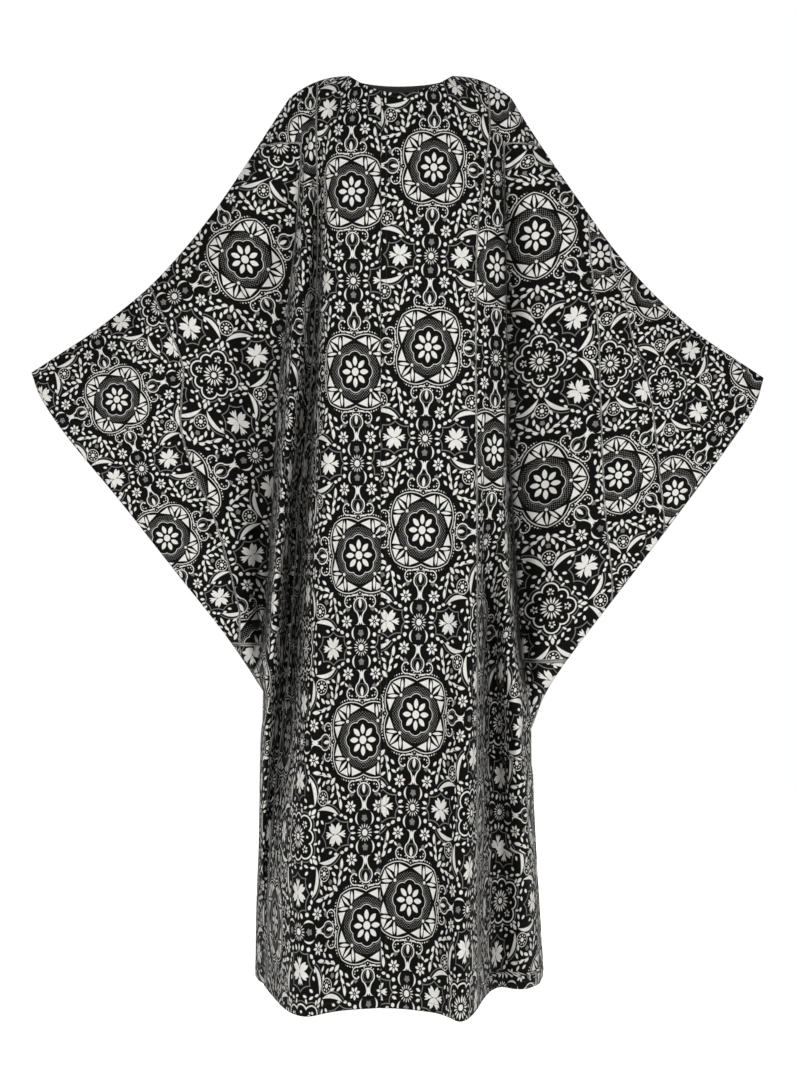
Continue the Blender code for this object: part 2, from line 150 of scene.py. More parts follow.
@dataclass(frozen=True)
class GarmentForm:
    """The form of the worn garment: horizontal sections through its named lines."""

    cloth: float = 0.0012
    facing_cloth: float = 0.0010
    seam_gap: float = 0.0003
    shoulder_height: float = -0.034
    hem_height: float = -1.415
    lap: float = 0.026
    lap_ease: float = 0.030
    facing_depth: float = 0.042
    neck_front_depth: float = 0.040
    neck_back_depth: float = 0.003
    neck_front_reach: float = 0.068
    neck_back_reach: float = 0.060
    cuff_fullness: float = 0.032
    top_blend: float = 0.130
    wing_near: float = 0.26
    wing_middle: float = 0.62
    neck_line: int = 2
    lap_end_place: float = 0.7
    rows: tuple[int, ...] = (3, 8, 14, 10)
    sides: Mapping[Side, SideSizes] = field(default_factory=lambda: {
        Side.LEFT: SideSizes(0.0860, 0.1760, -0.470, -1.018),
        Side.RIGHT: SideSizes(0.0790, 0.1700, -0.462, -0.958),
    })
    overarm: Table = Table(("share", "left_x", "right_x"), (
        (0.00, 0.1760, 0.1700), (0.10, 0.2022, 0.1981), (0.25, 0.2458, 0.2398),
        (0.40, 0.2918, 0.2833), (0.55, 0.3393, 0.3337), (0.70, 0.3976, 0.3943),
        (0.85, 0.4715, 0.4747), (0.93, 0.5230, 0.5264), (1.00, 0.5690, 0.5720),
    ))
    cuff: Table = Table(("share", "left_x", "right_x"), (
        (0.00, 0.5690, 0.5720), (0.08, 0.5537, 0.5555), (0.20, 0.5091, 0.5144),
        (0.40, 0.4270, 0.4317), (0.60, 0.3436, 0.3538), (0.80, 0.2617, 0.2767),
        (0.90, 0.2275, 0.2423), (1.00, 0.2067, 0.2110),
    ))
    side_seam: Table = Table(("share", "left_x", "right_x", "seam_y"), (
        (0.00, 0.2067, 0.2110, 0.000), (0.25, 0.2090, 0.2140, 0.015),
        (0.50, 0.2150, 0.2195, 0.035), (0.75, 0.2225, 0.2250, 0.052),
        (1.00, 0.2300, 0.2275, 0.065),
    ))
    centre: Table = Table(("height", "front_y", "back_y"), (
        (-0.020, 0.066, 0.060), (-0.060, 0.079, 0.076), (-0.120, 0.098, 0.092),
        (-0.250, 0.124, 0.106), (-0.460, 0.137, 0.110), (-0.700, 0.146, 0.114),
        (-0.955, 0.155, 0.122), (-1.200, 0.163, 0.132), (-1.415, 0.171, 0.142),
    ))
    wing: Table = Table(("height", "near_y", "middle_y"), (
        (-0.034, 0.016, 0.010), (-0.120, 0.046, 0.034), (-0.250, 0.044, 0.038),
        (-0.460, 0.036, 0.036), (-0.700, 0.032, 0.034), (-0.860, 0.026, 0.028),
        (-1.018, 0.020, 0.022),
    ))
    folds: Mapping[tuple[Layer, Side], Table] = field(default_factory=lambda: {
        (Layer.FRONT, Side.LEFT): Table(FOLD_COLUMNS, (
            (-0.034, 0.050, 0.060, 0.100, 0.045, 0.122, 0.034, 0.136, 0.026, 0.152, 0.018),
            (-0.120, 0.056, 0.096, 0.112, 0.084, 0.136, 0.074, 0.152, 0.066, 0.168, 0.042),
            (-0.250, 0.062, 0.124, 0.126, 0.108, 0.148, 0.094, 0.163, 0.073, 0.164, 0.024),
            (-0.460, 0.060, 0.138, 0.121, 0.136, 0.146, 0.116, 0.164, 0.088, 0.167, 0.012),
            (-0.700, 0.056, 0.149, 0.110, 0.160, 0.134, 0.122, 0.160, 0.110, 0.180, 0.009),
            (-0.860, 0.054, 0.158, 0.109, 0.176, 0.138, 0.070, 0.166, 0.122, 0.190, 0.010),
            (-1.018, 0.053, 0.166, 0.107, 0.192, 0.143, 0.042, 0.176, 0.108, 0.203, 0.030),
            (-1.200, 0.054, 0.184, 0.103, 0.214, 0.144, 0.044, 0.186, 0.068, 0.206, 0.030),
            (-1.415, 0.058, 0.205, 0.099, 0.243, 0.145, 0.045, 0.187, 0.040, 0.216, 0.008),
        )),
        (Layer.FRONT, Side.RIGHT): Table(FOLD_COLUMNS, (
            (-0.034, 0.046, 0.060, 0.092, 0.045, 0.112, 0.036, 0.128, 0.028, 0.146, 0.020),
            (-0.120, 0.050, 0.096, 0.100, 0.086, 0.124, 0.066, 0.137, 0.072, 0.152, 0.046),
            (-0.250, 0.054, 0.123, 0.106, 0.110, 0.122, 0.052, 0.140, 0.080, 0.166, 0.026),
            (-0.460, 0.056, 0.138, 0.110, 0.134, 0.133, 0.034, 0.157, 0.104, 0.193, 0.013),
            (-0.700, 0.060, 0.148, 0.119, 0.156, 0.156, 0.024, 0.177, 0.124, 0.203, 0.009),
            (-0.860, 0.064, 0.155, 0.126, 0.168, 0.166, 0.024, 0.187, 0.128, 0.210, 0.010),
            (-0.958, 0.068, 0.160, 0.132, 0.175, 0.171, 0.026, 0.193, 0.122, 0.211, 0.030),
            (-1.200, 0.078, 0.172, 0.146, 0.194, 0.197, 0.048, 0.208, 0.046, 0.217, 0.006),
            (-1.415, 0.084, 0.186, 0.150, 0.213, 0.203, 0.040, 0.209, 0.004, 0.219, -0.022),
        )),
        (Layer.BACK, Side.LEFT): Table(FOLD_COLUMNS, (
            (-0.034, 0.048, 0.056, 0.098, 0.042, 0.118, 0.032, 0.134, 0.024, 0.152, 0.018),
            (-0.120, 0.052, 0.092, 0.106, 0.082, 0.130, 0.068, 0.146, 0.062, 0.166, 0.042),
            (-0.250, 0.056, 0.107, 0.112, 0.100, 0.134, 0.064, 0.152, 0.074, 0.170, 0.026),
            (-0.460, 0.058, 0.112, 0.116, 0.114, 0.140, 0.042, 0.160, 0.092, 0.176, 0.014),
            (-0.700, 0.060, 0.118, 0.120, 0.130, 0.150, 0.028, 0.168, 0.108, 0.186, 0.010),
            (-0.860, 0.062, 0.126, 0.124, 0.142, 0.156, 0.026, 0.176, 0.114, 0.194, 0.012),
            (-1.018, 0.064, 0.133, 0.128, 0.154, 0.162, 0.034, 0.186, 0.108, 0.206, 0.034),
            (-1.200, 0.067, 0.146, 0.134, 0.172, 0.176, 0.082, 0.204, 0.112, 0.218, 0.078),
            (-1.415, 0.078, 0.168, 0.141, 0.190, 0.188, 0.116, 0.216, 0.140, 0.232, 0.108),
        )),
        (Layer.BACK, Side.RIGHT): Table(FOLD_COLUMNS, (
            (-0.034, 0.044, 0.056, 0.090, 0.042, 0.110, 0.034, 0.126, 0.026, 0.146, 0.020),
            (-0.120, 0.048, 0.092, 0.098, 0.082, 0.122, 0.070, 0.138, 0.060, 0.158, 0.044),
            (-0.250, 0.052, 0.108, 0.106, 0.102, 0.128, 0.070, 0.146, 0.068, 0.168, 0.028),
            (-0.460, 0.055, 0.114, 0.112, 0.118, 0.138, 0.048, 0.160, 0.088, 0.190, 0.014),
            (-0.700, 0.058, 0.120, 0.118, 0.134, 0.152, 0.030, 0.174, 0.106, 0.202, 0.010),
            (-0.860, 0.060, 0.128, 0.122, 0.146, 0.160, 0.026, 0.184, 0.116, 0.209, 0.012),
            (-0.958, 0.062, 0.133, 0.126, 0.154, 0.166, 0.030, 0.191, 0.114, 0.211, 0.032),
            (-1.200, 0.070, 0.150, 0.142, 0.176, 0.184, 0.098, 0.208, 0.122, 0.220, 0.088),
            (-1.415, 0.086, 0.176, 0.153, 0.196, 0.192, 0.132, 0.216, 0.156, 0.230, 0.118),
        )),
    })

    @property
    def lap_step(self) -> float:
        """How far the upper front lies off the lower one at the lap."""
        return self.cloth + 0.0006

    def seam_offset(self, lean: np.ndarray) -> np.ndarray:
        """Half the way between two layers at their seam, with lean 1 where they lie flat.

        Args:
            lean: 1 where the layers lie flat, less where they stand.

        Returns:
            Offsets in metres.
        """
        return self.seam_gap / 2 + self.cloth / 2 * lean

    def side_column(self, side: Side) -> str:
        """Name the column of a side in the seam tables.

        Args:
            side: The wearer's side.

        Returns:
            The column's name.
        """
        return "left_x" if side is Side.LEFT else "right_x"

    def edge_line(
        self, side: Side, layer: Layer, heights: np.ndarray
    ) -> tuple[np.ndarray, np.ndarray]:
        """Outer end of the sections: overarm seam, open cuff edge, then side seam.

        Args:
            side: The wearer's side.
            layer: Front or back.
            heights: Heights of the sections.

        Returns:
            x and y outwards at each height.
        """
        sizes = self.sides[side]
        above = (self.shoulder_height - heights) / (self.shoulder_height - sizes.tip_height)
        beside = (sizes.tip_height - heights) / (sizes.tip_height - sizes.cuff_end_height)
        below = (sizes.cuff_end_height - heights) / (sizes.cuff_end_height - self.hem_height)
        name = self.side_column(side)
        x = np.where(
            heights >= sizes.tip_height,
            self.overarm.track(name, above),
            np.where(
                heights >= sizes.cuff_end_height,
                self.cuff.track(name, beside),
                self.side_seam.track(name, below),
            ),
        )
        opening = self.cuff_fullness * np.sin(np.pi * np.clip(beside, 0, 1)) ** 0.85
        seam = self.side_seam.track("seam_y", below) * np.where(below > 0, 1, 0)
        lean = mix(1.0, 0.4, smooth(below * 6))
        return x, self.seam_offset(lean) + opening + layer.value * seam

    def named_lines(self, side: Side, layer: Layer, heights: np.ndarray) -> np.ndarray:
        """Find the named lines of one half.

        Args:
            side: The wearer's side.
            layer: Front or back.
            heights: Heights of the sections.

        Returns:
            Points as (line, height, x or y).
        """
        table = self.folds[layer, side]
        fold = {name: table.track(name, heights) for name in FOLD_COLUMNS[1:]}
        cuff_end = self.sides[side].cuff_end_height
        edge_x, edge_y = self.edge_line(side, layer, heights)
        centre_y = "front_y" if layer is Layer.FRONT else "back_y"
        wing = edge_x - fold["root_x"]
        near_y = self.wing.track("near_y", heights) + 0.2 * edge_y
        middle_y = self.wing.track("middle_y", heights) + 0.4 * edge_y
        upper = (
            (fold["root_x"], fold["root_y"]),
            (fold["root_x"] + self.wing_near * wing, near_y),
            (fold["root_x"] + self.wing_middle * wing, middle_y),
        )
        below = smooth((cuff_end - heights) / 0.08)
        turn_x = mix(mix(fold["pleat_x"], edge_x, 0.50), fold["root_x"], below)
        turn_y = mix(mix(fold["pleat_y"], edge_y, 0.42), fold["root_y"], below)
        lower = (
            (turn_x, turn_y),
            (mix(turn_x, edge_x, 0.50), mix(turn_y, edge_y, 0.40)),
            (mix(turn_x, edge_x, 0.80), mix(turn_y, edge_y, 0.73)),
        )
        wing_share = smooth((heights - cuff_end) / 0.11)
        ends = [
            (mix(low[0], high[0], wing_share), mix(low[1], high[1], wing_share))
            for low, high in zip(lower, upper)
        ]
        lines = [
            (np.zeros_like(heights), self.centre.track(centre_y, heights)),
            (fold["mid_x"], fold["mid_y"]),
            (fold["ridge_x"], fold["ridge_y"]),
            (fold["groove_x"], fold["groove_y"]),
            (fold["pleat_x"], fold["pleat_y"]),
            *ends,
            (edge_x, edge_y),
        ]
        return np.array([np.stack(line, axis=-1) for line in lines])

    def front_middle(self, x: np.ndarray, heights: np.ndarray) -> np.ndarray:
        """Shared form of both fronts where they lap.

        Args:
            x: Signed x of each point.
            heights: Height of each point.

        Returns:
            y outwards of each point.
        """
        left = self.folds[Layer.FRONT, Side.LEFT]
        right = self.folds[Layer.FRONT, Side.RIGHT]
        middle = self.centre.track("front_y", heights)
        left_x = left.track("mid_x", heights)
        right_x = -right.track("mid_x", heights)
        left_rise = (left.track("mid_y", heights) - middle) / left_x
        right_rise = (right.track("mid_y", heights) - middle) / right_x
        bend = (left_rise - right_rise) / (left_x - right_x)
        return middle + (left_rise - bend * left_x) * x + bend * x * x

    def curve_through(self, points: np.ndarray, places: np.ndarray) -> np.ndarray:
        """Draw a smooth section through its named lines.

        Args:
            points: The lines, as (line, n, 2).
            places: One place for each of the n sections, in lines.

        Returns:
            One point for each place, as (n, 2).
        """
        count = len(points)
        weights = np.zeros((count, count))
        weights[0, 0] = 1.0
        weights[-1, -1] = 1.0
        for k in range(1, count - 1):
            weights[k, k - 1:k + 2] = (0.125, 0.75, 0.125)
        control = np.linalg.solve(weights, points.reshape(count, -1)).reshape(points.shape)
        first = 2 * control[:1] - control[1:2]
        last = 2 * control[-1:] - control[-2:-1]
        control = np.concatenate((first, control, last))
        k = np.clip(np.rint(places), 0, count - 1).astype(int)
        f = (places - k)[:, None]
        at = np.arange(len(places))
        before, here, after = control[k, at], control[k + 1, at], control[k + 2, at]
        middle = (0.75 - f * f) * here
        return 0.5 * (0.5 - f) ** 2 * before + middle + 0.5 * (0.5 + f) ** 2 * after

    def neckline(
        self, side: Side, layer: Layer, angle: np.ndarray
    ) -> tuple[np.ndarray, np.ndarray, np.ndarray]:
        """Neck edge at an angle, 0 in the middle and a right angle at the side of the neck.

        Args:
            side: The wearer's side.
            layer: Front or back.
            angle: The angle round the neck.

        Returns:
            x, y outwards and z.
        """
        x = self.sides[side].neck_x * np.sin(angle)
        turn = np.cos(angle)
        if layer is Layer.FRONT:
            return x, self.neck_front_reach * turn, -self.neck_front_depth * turn**1.8
        return x, self.neck_back_reach * turn, -self.neck_back_depth * turn**1.8

    def top_line(self, side: Side, layer: Layer, places: np.ndarray) -> np.ndarray:
        """Top edge of a half: the neckline, then the shoulder seam.

        Args:
            side: The wearer's side.
            layer: Front or back.
            places: Places across the half, in lines.

        Returns:
            x, y outwards and z, as (n, 3).
        """
        sizes = self.sides[side]
        share_of_neck = np.clip(places / self.neck_line, 0, 1)
        on_neck = self.neckline(side, layer, np.pi / 2 * share_of_neck)
        share = np.clip((places - self.neck_line) / (8 - self.neck_line), 0, 1)
        seam_y = self.seam_offset(mix(0.75, 1.0, share))
        inside = places < self.neck_line
        x = np.where(inside, on_neck[0], mix(sizes.neck_x, sizes.shoulder_x, share))
        y = np.where(inside, np.maximum(on_neck[1], seam_y), seam_y)
        z = np.where(inside, on_neck[2], self.shoulder_height * share**2.2)
        return np.stack((x, y, z), axis=-1)

    def row_heights(self, side: Side) -> np.ndarray:
        """Heights at the outer end of each section, with stops at the wing tip and cuff.

        Args:
            side: The wearer's side.

        Returns:
            Heights from top to bottom.
        """
        stops = (
            self.shoulder_height,
            self.shoulder_height - self.facing_depth,
            self.sides[side].tip_height,
            self.sides[side].cuff_end_height,
            self.hem_height,
        )
        heights = [np.array([self.shoulder_height])]
        for count, top, bottom in zip(self.rows, stops, stops[1:]):
            heights.append(np.linspace(top, bottom, count + 1)[1:])
        return np.concatenate(heights)

    def middle_heights(self, levels: np.ndarray) -> np.ndarray:
        """Heights of the sections in the middle of the garment.

        Args:
            levels: Levels in rows.

        Returns:
            Heights in metres.
        """
        rows = np.arange(len(self.row_heights(Side.LEFT)))
        both = (self.row_heights(Side.LEFT) + self.row_heights(Side.RIGHT)) / 2
        return np.interp(levels, rows, both)

    def top_fade(self, heights: np.ndarray) -> np.ndarray:
        """Share of the top edge's form at a height: 1 at the top, 0 below the shoulders.

        Args:
            heights: Heights in metres.

        Returns:
            Shares.
        """
        return 1 - smooth((self.shoulder_height - heights) / self.top_blend)

    def shoulder_fade(self, heights: np.ndarray) -> np.ndarray:
        """The same share for y, which drops faster so that the shoulders are round.

        Args:
            heights: Heights in metres.

        Returns:
            Shares.
        """
        return (1 - np.clip((self.shoulder_height - heights) / self.top_blend, 0, 1)) ** 5

    def share_middle(
        self, section: np.ndarray, side: Side, layer: Layer, heights: np.ndarray
    ) -> np.ndarray:
        """Give both fronts the same form where they lap.

        Args:
            section: Points as (n, 2).
            side: The wearer's side.
            layer: Front or back.
            heights: Height of each point.

        Returns:
            The points, with y blended near the middle.
        """
        if layer is Layer.BACK:
            return section
        shared = self.front_middle(side.value * section[:, 0], heights)
        weight = 1 - smooth((np.abs(section[:, 0]) - 0.036) / 0.030)
        section[:, 1] = mix(section[:, 1], shared, weight)
        return section

    def half_surface(
        self, side: Side, layer: Layer, places: np.ndarray, levels: np.ndarray
    ) -> np.ndarray:
        """Points of one half.

        Args:
            side: The wearer's side.
            layer: Front or back.
            places: Places across, in lines.
            levels: Levels down, in rows.

        Returns:
            Points as (level, place, xyz).
        """
        own = self.row_heights(side)
        outer = np.interp(levels, np.arange(len(own)), own)
        across, _ = np.meshgrid(places, levels)
        share = smooth(across / 3)
        heights = mix(self.middle_heights(levels)[:, None], outer[:, None], share).ravel()
        flat_places = across.ravel()
        section = self.curve_through(self.named_lines(side, layer, heights), flat_places)
        section = self.share_middle(section, side, layer, heights)
        start = np.full_like(heights, self.shoulder_height)
        at_top = self.curve_through(self.named_lines(side, layer, start), flat_places)
        at_top = self.share_middle(at_top, side, layer, start)
        top = self.top_line(side, layer, flat_places)
        fade = self.top_fade(heights)
        x = section[:, 0] + (top[:, 0] - at_top[:, 0]) * fade
        y = section[:, 1] + (top[:, 1] - at_top[:, 1]) * self.shoulder_fade(heights)
        z = heights + (top[:, 2] - self.shoulder_height) * fade
        if layer is Layer.FRONT and side is Side.LEFT:
            y = y + self.lap_step * (1 - smooth((x - self.lap) / self.lap_ease))
        points = np.stack((side.value * x, layer.value * y, z), axis=-1)
        return points.reshape(len(levels), len(places), 3)

    def lap_surface(self, side: Side, xs: np.ndarray, levels: np.ndarray) -> np.ndarray:
        """Points of a front where the two lie on each other: the left one is on top.

        Args:
            side: The wearer's side.
            xs: Signed x of the columns.
            levels: Levels down, in rows.

        Returns:
            Points as (level, column, xyz).
        """
        heights = self.middle_heights(levels)
        fade = self.top_fade(heights)
        columns = []
        for x in xs:
            own = Side.LEFT if x > 0 else Side.RIGHT
            angle = np.arcsin(abs(x) / self.sides[own].neck_x)
            _, neck_y, neck_z = self.neckline(own, Layer.FRONT, angle)
            across = np.full_like(heights, x)
            start_y = self.front_middle(across, np.full_like(heights, self.shoulder_height))
            y = self.front_middle(across, heights)
            y = y + (neck_y - start_y) * self.shoulder_fade(heights)
            z = heights + (neck_z - self.shoulder_height) * fade
            step = self.lap_step if side is Side.LEFT else 0.0
            columns.append(np.stack((across, -(y + step), z), axis=-1))
        return np.stack(columns, axis=1)


@dataclass(frozen=True)
class Crease:
    """A soft fold along a line of (x, z) points: a ridge if it rises, else a trough."""

    line: tuple[tuple[float, float], ...]
    rise: float
    width: float
    fade: float = 0.07

    def relief(self, x: np.ndarray, z: np.ndarray) -> np.ndarray:
        """How far the fold lifts the cloth.

        Args:
            x: x of the points.
            z: z of the points.

        Returns:
            Metres outwards at each point.
        """
        knots = np.array(self.line)
        steps = np.linalg.norm(np.diff(knots, axis=0), axis=1)
        starts = np.concatenate(([0.0], np.cumsum(steps)))
        nearest = np.full(x.shape, 1e9)
        along = np.zeros(x.shape)
        for k, step in enumerate(steps):
            way = (knots[k + 1] - knots[k]) / step
            dx, dz = x - knots[k, 0], z - knots[k, 1]
            s = dx * way[0] + dz * way[1]
            inside = np.clip(s, 0.0, step)
            gap = np.hypot(dx - inside * way[0], dz - inside * way[1])
            closer = gap < nearest
            along = np.where(closer, starts[k] + s, along)
            nearest = np.where(closer, gap, nearest)
        total = starts[-1]
        ends = smooth(along / self.fade) * smooth((total - along) / self.fade)
        uneven = 1 + 0.18 * np.sin(23.0 * along + 40.0 * self.width + 1.3)
        return self.rise * uneven * ends * np.exp(-((nearest / self.width) ** 2))


FOLDS_OF_FRONT_LEFT = (
    Crease(((0.296, -0.270), (0.309, -0.410), (0.312, -0.484), (0.318, -0.662), (0.330, -0.780)),
           -0.0095, 0.010),
    Crease(((0.318, -0.300), (0.330, -0.440), (0.334, -0.600)), 0.0040, 0.016),
    Crease(((0.350, -0.340), (0.364, -0.422), (0.386, -0.484), (0.400, -0.585), (0.410, -0.690)),
           -0.0060, 0.011),
    Crease(((0.430, -0.410), (0.452, -0.500), (0.440, -0.560)), -0.0026, 0.016),
    Crease(((0.222, -0.150), (0.236, -0.330), (0.232, -0.560), (0.222, -0.740)), -0.0040, 0.014),
    Crease(((0.070, -0.560), (0.066, -0.860), (0.074, -1.200)), -0.0030, 0.018, 0.2),
    Crease(((0.045, -0.760), (0.040, -1.060), (0.048, -1.380)), 0.0030, 0.020, 0.2),
)
FOLDS_OF_FRONT_RIGHT = (
    Crease(((-0.206, -0.150), (-0.228, -0.300), (-0.236, -0.480), (-0.232, -0.640)), -0.0050, 0.013),
    Crease(((-0.252, -0.200), (-0.270, -0.330), (-0.280, -0.520)), 0.0030, 0.017),
    Crease(((-0.400, -0.395), (-0.428, -0.450), (-0.446, -0.520)), -0.0040, 0.012),
    Crease(((-0.361, -0.384), (-0.333, -0.453), (-0.335, -0.554), (-0.313, -0.623),
            (-0.288, -0.677), (-0.264, -0.755)), -0.0065, 0.010),
    Crease(((-0.074, -0.520), (-0.086, -0.860), (-0.104, -1.200)), -0.0030, 0.018, 0.2),
    Crease(((-0.044, -0.700), (-0.050, -1.000), (-0.052, -1.360)), 0.0028, 0.018, 0.2),
)
FOLDS_OF_BACK = (
    Crease(((0.262, -0.210), (0.284, -0.360), (0.292, -0.540), (0.286, -0.700)), -0.0070, 0.013),
    Crease(((0.352, -0.320), (0.372, -0.440), (0.378, -0.580)), -0.0042, 0.014),
    Crease(((0.430, -0.400), (0.450, -0.480), (0.446, -0.560)), 0.0030, 0.018),
    Crease(((-0.250, -0.200), (-0.272, -0.360), (-0.282, -0.560)), -0.0065, 0.013),
    Crease(((-0.340, -0.310), (-0.366, -0.440), (-0.374, -0.600)), -0.0040, 0.015),
    Crease(((-0.420, -0.400), (-0.448, -0.500), (-0.440, -0.570)), 0.0030, 0.017),
    Crease(((0.070, -0.420), (0.072, -0.860), (0.080, -1.300)), -0.0036, 0.020, 0.2),
    Crease(((-0.024, -0.520), (-0.030, -0.900), (-0.026, -1.340)), -0.0032, 0.022, 0.2),
    Crease(((-0.092, -0.600), (-0.098, -0.960), (-0.110, -1.340)), 0.0030, 0.020, 0.2),
)


@dataclass(frozen=True)
class PrintPlacing:
    """Where the print lies on cloth: one medallion, the turn of the cloth and its slack."""

    medallion_x: float
    medallion_z: float
    turn: float = 0.0
    across: float = 1.0
    down: float = 1.0

    def rows(self) -> tuple[tuple[float, float, float], tuple[float, float, float]]:
        """How x and z give the flat places.

        Returns:
            For u and for v: the shares of x and z, and what is taken off.
        """
        c, s = math.cos(math.radians(self.turn)), math.sin(math.radians(self.turn))
        x, z = self.medallion_x, self.medallion_z
        return (
            (c / self.across, s / self.across, (c * x + s * z) / self.across),
            (-s / self.down, c / self.down, (c * z - s * x) / self.down),
        )


LINE_COLUMNS = ("z", "x")


@dataclass(frozen=True)
class Pleats:
    """Deep pleats of a piece, which hide cloth: the print starts anew beyond each."""

    name: str
    body: PrintPlacing
    strips: tuple[PrintPlacing, ...] = ()
    lines: tuple[Table, ...] = ()
    # Share by which the colour is darkened along the pleat's root line: a painted shadow.
    root_shade: float = 0.0


PLEATS_OF_FRONT_LEFT = Pleats(
    "front_left",
    PrintPlacing(0.0270, -0.9830, -1.9),
    (
        PrintPlacing(0.1392, -0.8640, -1.0, 0.82, 1.01),
        PrintPlacing(0.2273, -0.6370, -39.4, 1.12, 1.04),
        PrintPlacing(0.3386, -0.6234, -37.3, 1.00, 0.94),
        PrintPlacing(0.4275, -0.6497, -35.9, 0.95, 0.89),
    ),
    (
        Table(LINE_COLUMNS, (
            (-0.1000, 0.1400), (-0.2500, 0.1200), (-0.4000, 0.1160), (-0.6000, 0.1165),
            (-0.8650, 0.1170), (-1.1400, 0.1170), (-1.4200, 0.1180),
        )),
        Table(LINE_COLUMNS, (
            (-0.1500, 0.1620), (-0.2500, 0.1640), (-0.4600, 0.1670), (-0.7000, 0.1780),
            (-0.8600, 0.1860), (-0.9600, 0.1960), (-1.0200, 0.2200), (-1.0600, 0.3000),
        )),
        Table(LINE_COLUMNS, (
            (-0.2755, 0.2960), (-0.3990, 0.3084), (-0.4840, 0.3115), (-0.6620, 0.3177),
            (-0.7860, 0.3300),
        )),
        Table(LINE_COLUMNS, (
            (-0.3000, 0.3300), (-0.3528, 0.3500), (-0.4224, 0.3640), (-0.4842, 0.3857),
            (-0.5847, 0.3996), (-0.6930, 0.4105),
        )),
    ),
    # Deep painted shadow along this front's wing root.
    root_shade=0.78,
)
PLEATS_OF_FRONT_RIGHT = Pleats(
    "front_right",
    PrintPlacing(-0.0450, -1.0170, 1.2),
    (
        PrintPlacing(-0.1266, -0.3980, 1.6, 0.82, 1.01),
        PrintPlacing(-0.2365, -0.2910, 26.7, 1.08, 1.00),
        PrintPlacing(-0.4344, -0.5063, 20.0, 0.96, 0.83),
    ),
    (
        Table(LINE_COLUMNS, (
            (-0.1000, -0.1260), (-0.2500, -0.1240), (-0.4600, -0.1340), (-0.7000, -0.1560),
            (-0.8600, -0.1660), (-1.2000, -0.1970), (-1.4200, -0.2030),
        )),
        Table(LINE_COLUMNS, (
            (-0.1500, -0.1500), (-0.2500, -0.1580), (-0.4600, -0.1800), (-0.7000, -0.1960),
            (-0.8400, -0.2040), (-0.9200, -0.2200), (-0.9800, -0.3000),
        )),
        Table(LINE_COLUMNS, (
            (-0.3000, -0.4000), (-0.3837, -0.3610), (-0.4533, -0.3330), (-0.5074, -0.3347),
            (-0.5538, -0.3347), (-0.6233, -0.3131), (-0.6774, -0.2883), (-0.7548, -0.2636),
            (-0.8320, -0.2450),
        )),
    ),
    # Lighter painted shadow along this front's wing root.
    root_shade=0.30,
)
PLEATS_OF_BACK = Pleats("back", PrintPlacing(0.0000, -0.7600, 0.0))


Number = Union["Value", float, int]


class Value:
    """A socket of a material with Python's operators on it."""

    def __init__(self, board: "NodeBoard", socket: bpy.types.NodeSocket) -> None:
        """Wrap a socket of the board's nodes.

        Args:
            board: The node board.
            socket: Where the number comes from.
        """
        self.board = board
        self.socket = socket

    def __add__(self, other: Number) -> "Value":
        """Add.

        Args:
            other: A number or another value.

        Returns:
            The result.
        """
        return self.board.math("ADD", self, other)

    def __radd__(self, other: Number) -> "Value":
        """Add to a number.

        Args:
            other: A number or another value.

        Returns:
            The result.
        """
        return self.board.math("ADD", other, self)

    def __sub__(self, other: Number) -> "Value":
        """Subtract.

        Args:
            other: A number or another value.

        Returns:
            The result.
        """
        return self.board.math("SUBTRACT", self, other)

    def __rsub__(self, other: Number) -> "Value":
        """Subtract from a number.

        Args:
            other: A number or another value.

        Returns:
            The result.
        """
        return self.board.math("SUBTRACT", other, self)

    def __mul__(self, other: Number) -> "Value":
        """Multiply.

        Args:
            other: A number or another value.

        Returns:
            The result.
        """
        return self.board.math("MULTIPLY", self, other)

    def __rmul__(self, other: Number) -> "Value":
        """Multiply a number.

        Args:
            other: A number or another value.

        Returns:
            The result.
        """
        return self.board.math("MULTIPLY", other, self)

    def __truediv__(self, other: Number) -> "Value":
        """Divide.

        Args:
            other: A number or another value.

        Returns:
            The result.
        """
        return self.board.math("DIVIDE", self, other)

    def __abs__(self) -> "Value":
        """Drop the sign."""
        return self.board.math("ABSOLUTE", self)

    def larger(self, other: Number) -> "Value":
        """The larger of two.

        Args:
            other: A number or another value.

        Returns:
            The larger one.
        """
        return self.board.math("MAXIMUM", self, other)

    def smaller(self, other: Number) -> "Value":
        """The smaller of two.

        Args:
            other: A number or another value.

        Returns:
            The smaller one.
        """
        return self.board.math("MINIMUM", self, other)

    def bounce(self, size: float) -> "Value":
        """Go to and fro between 0 and a size.

        Args:
            size: Length of one way.

        Returns:
            The folded value.
        """
        return self.board.math("PINGPONG", self, size)

    def held(self) -> "Value":
        """Keep it from 0 to 1."""
        return self.board.math("ADD", self, 0.0, clamp=True)


Setting = Union[str, float, int, bool]
SocketValue = Union[Value, float, int, tuple]


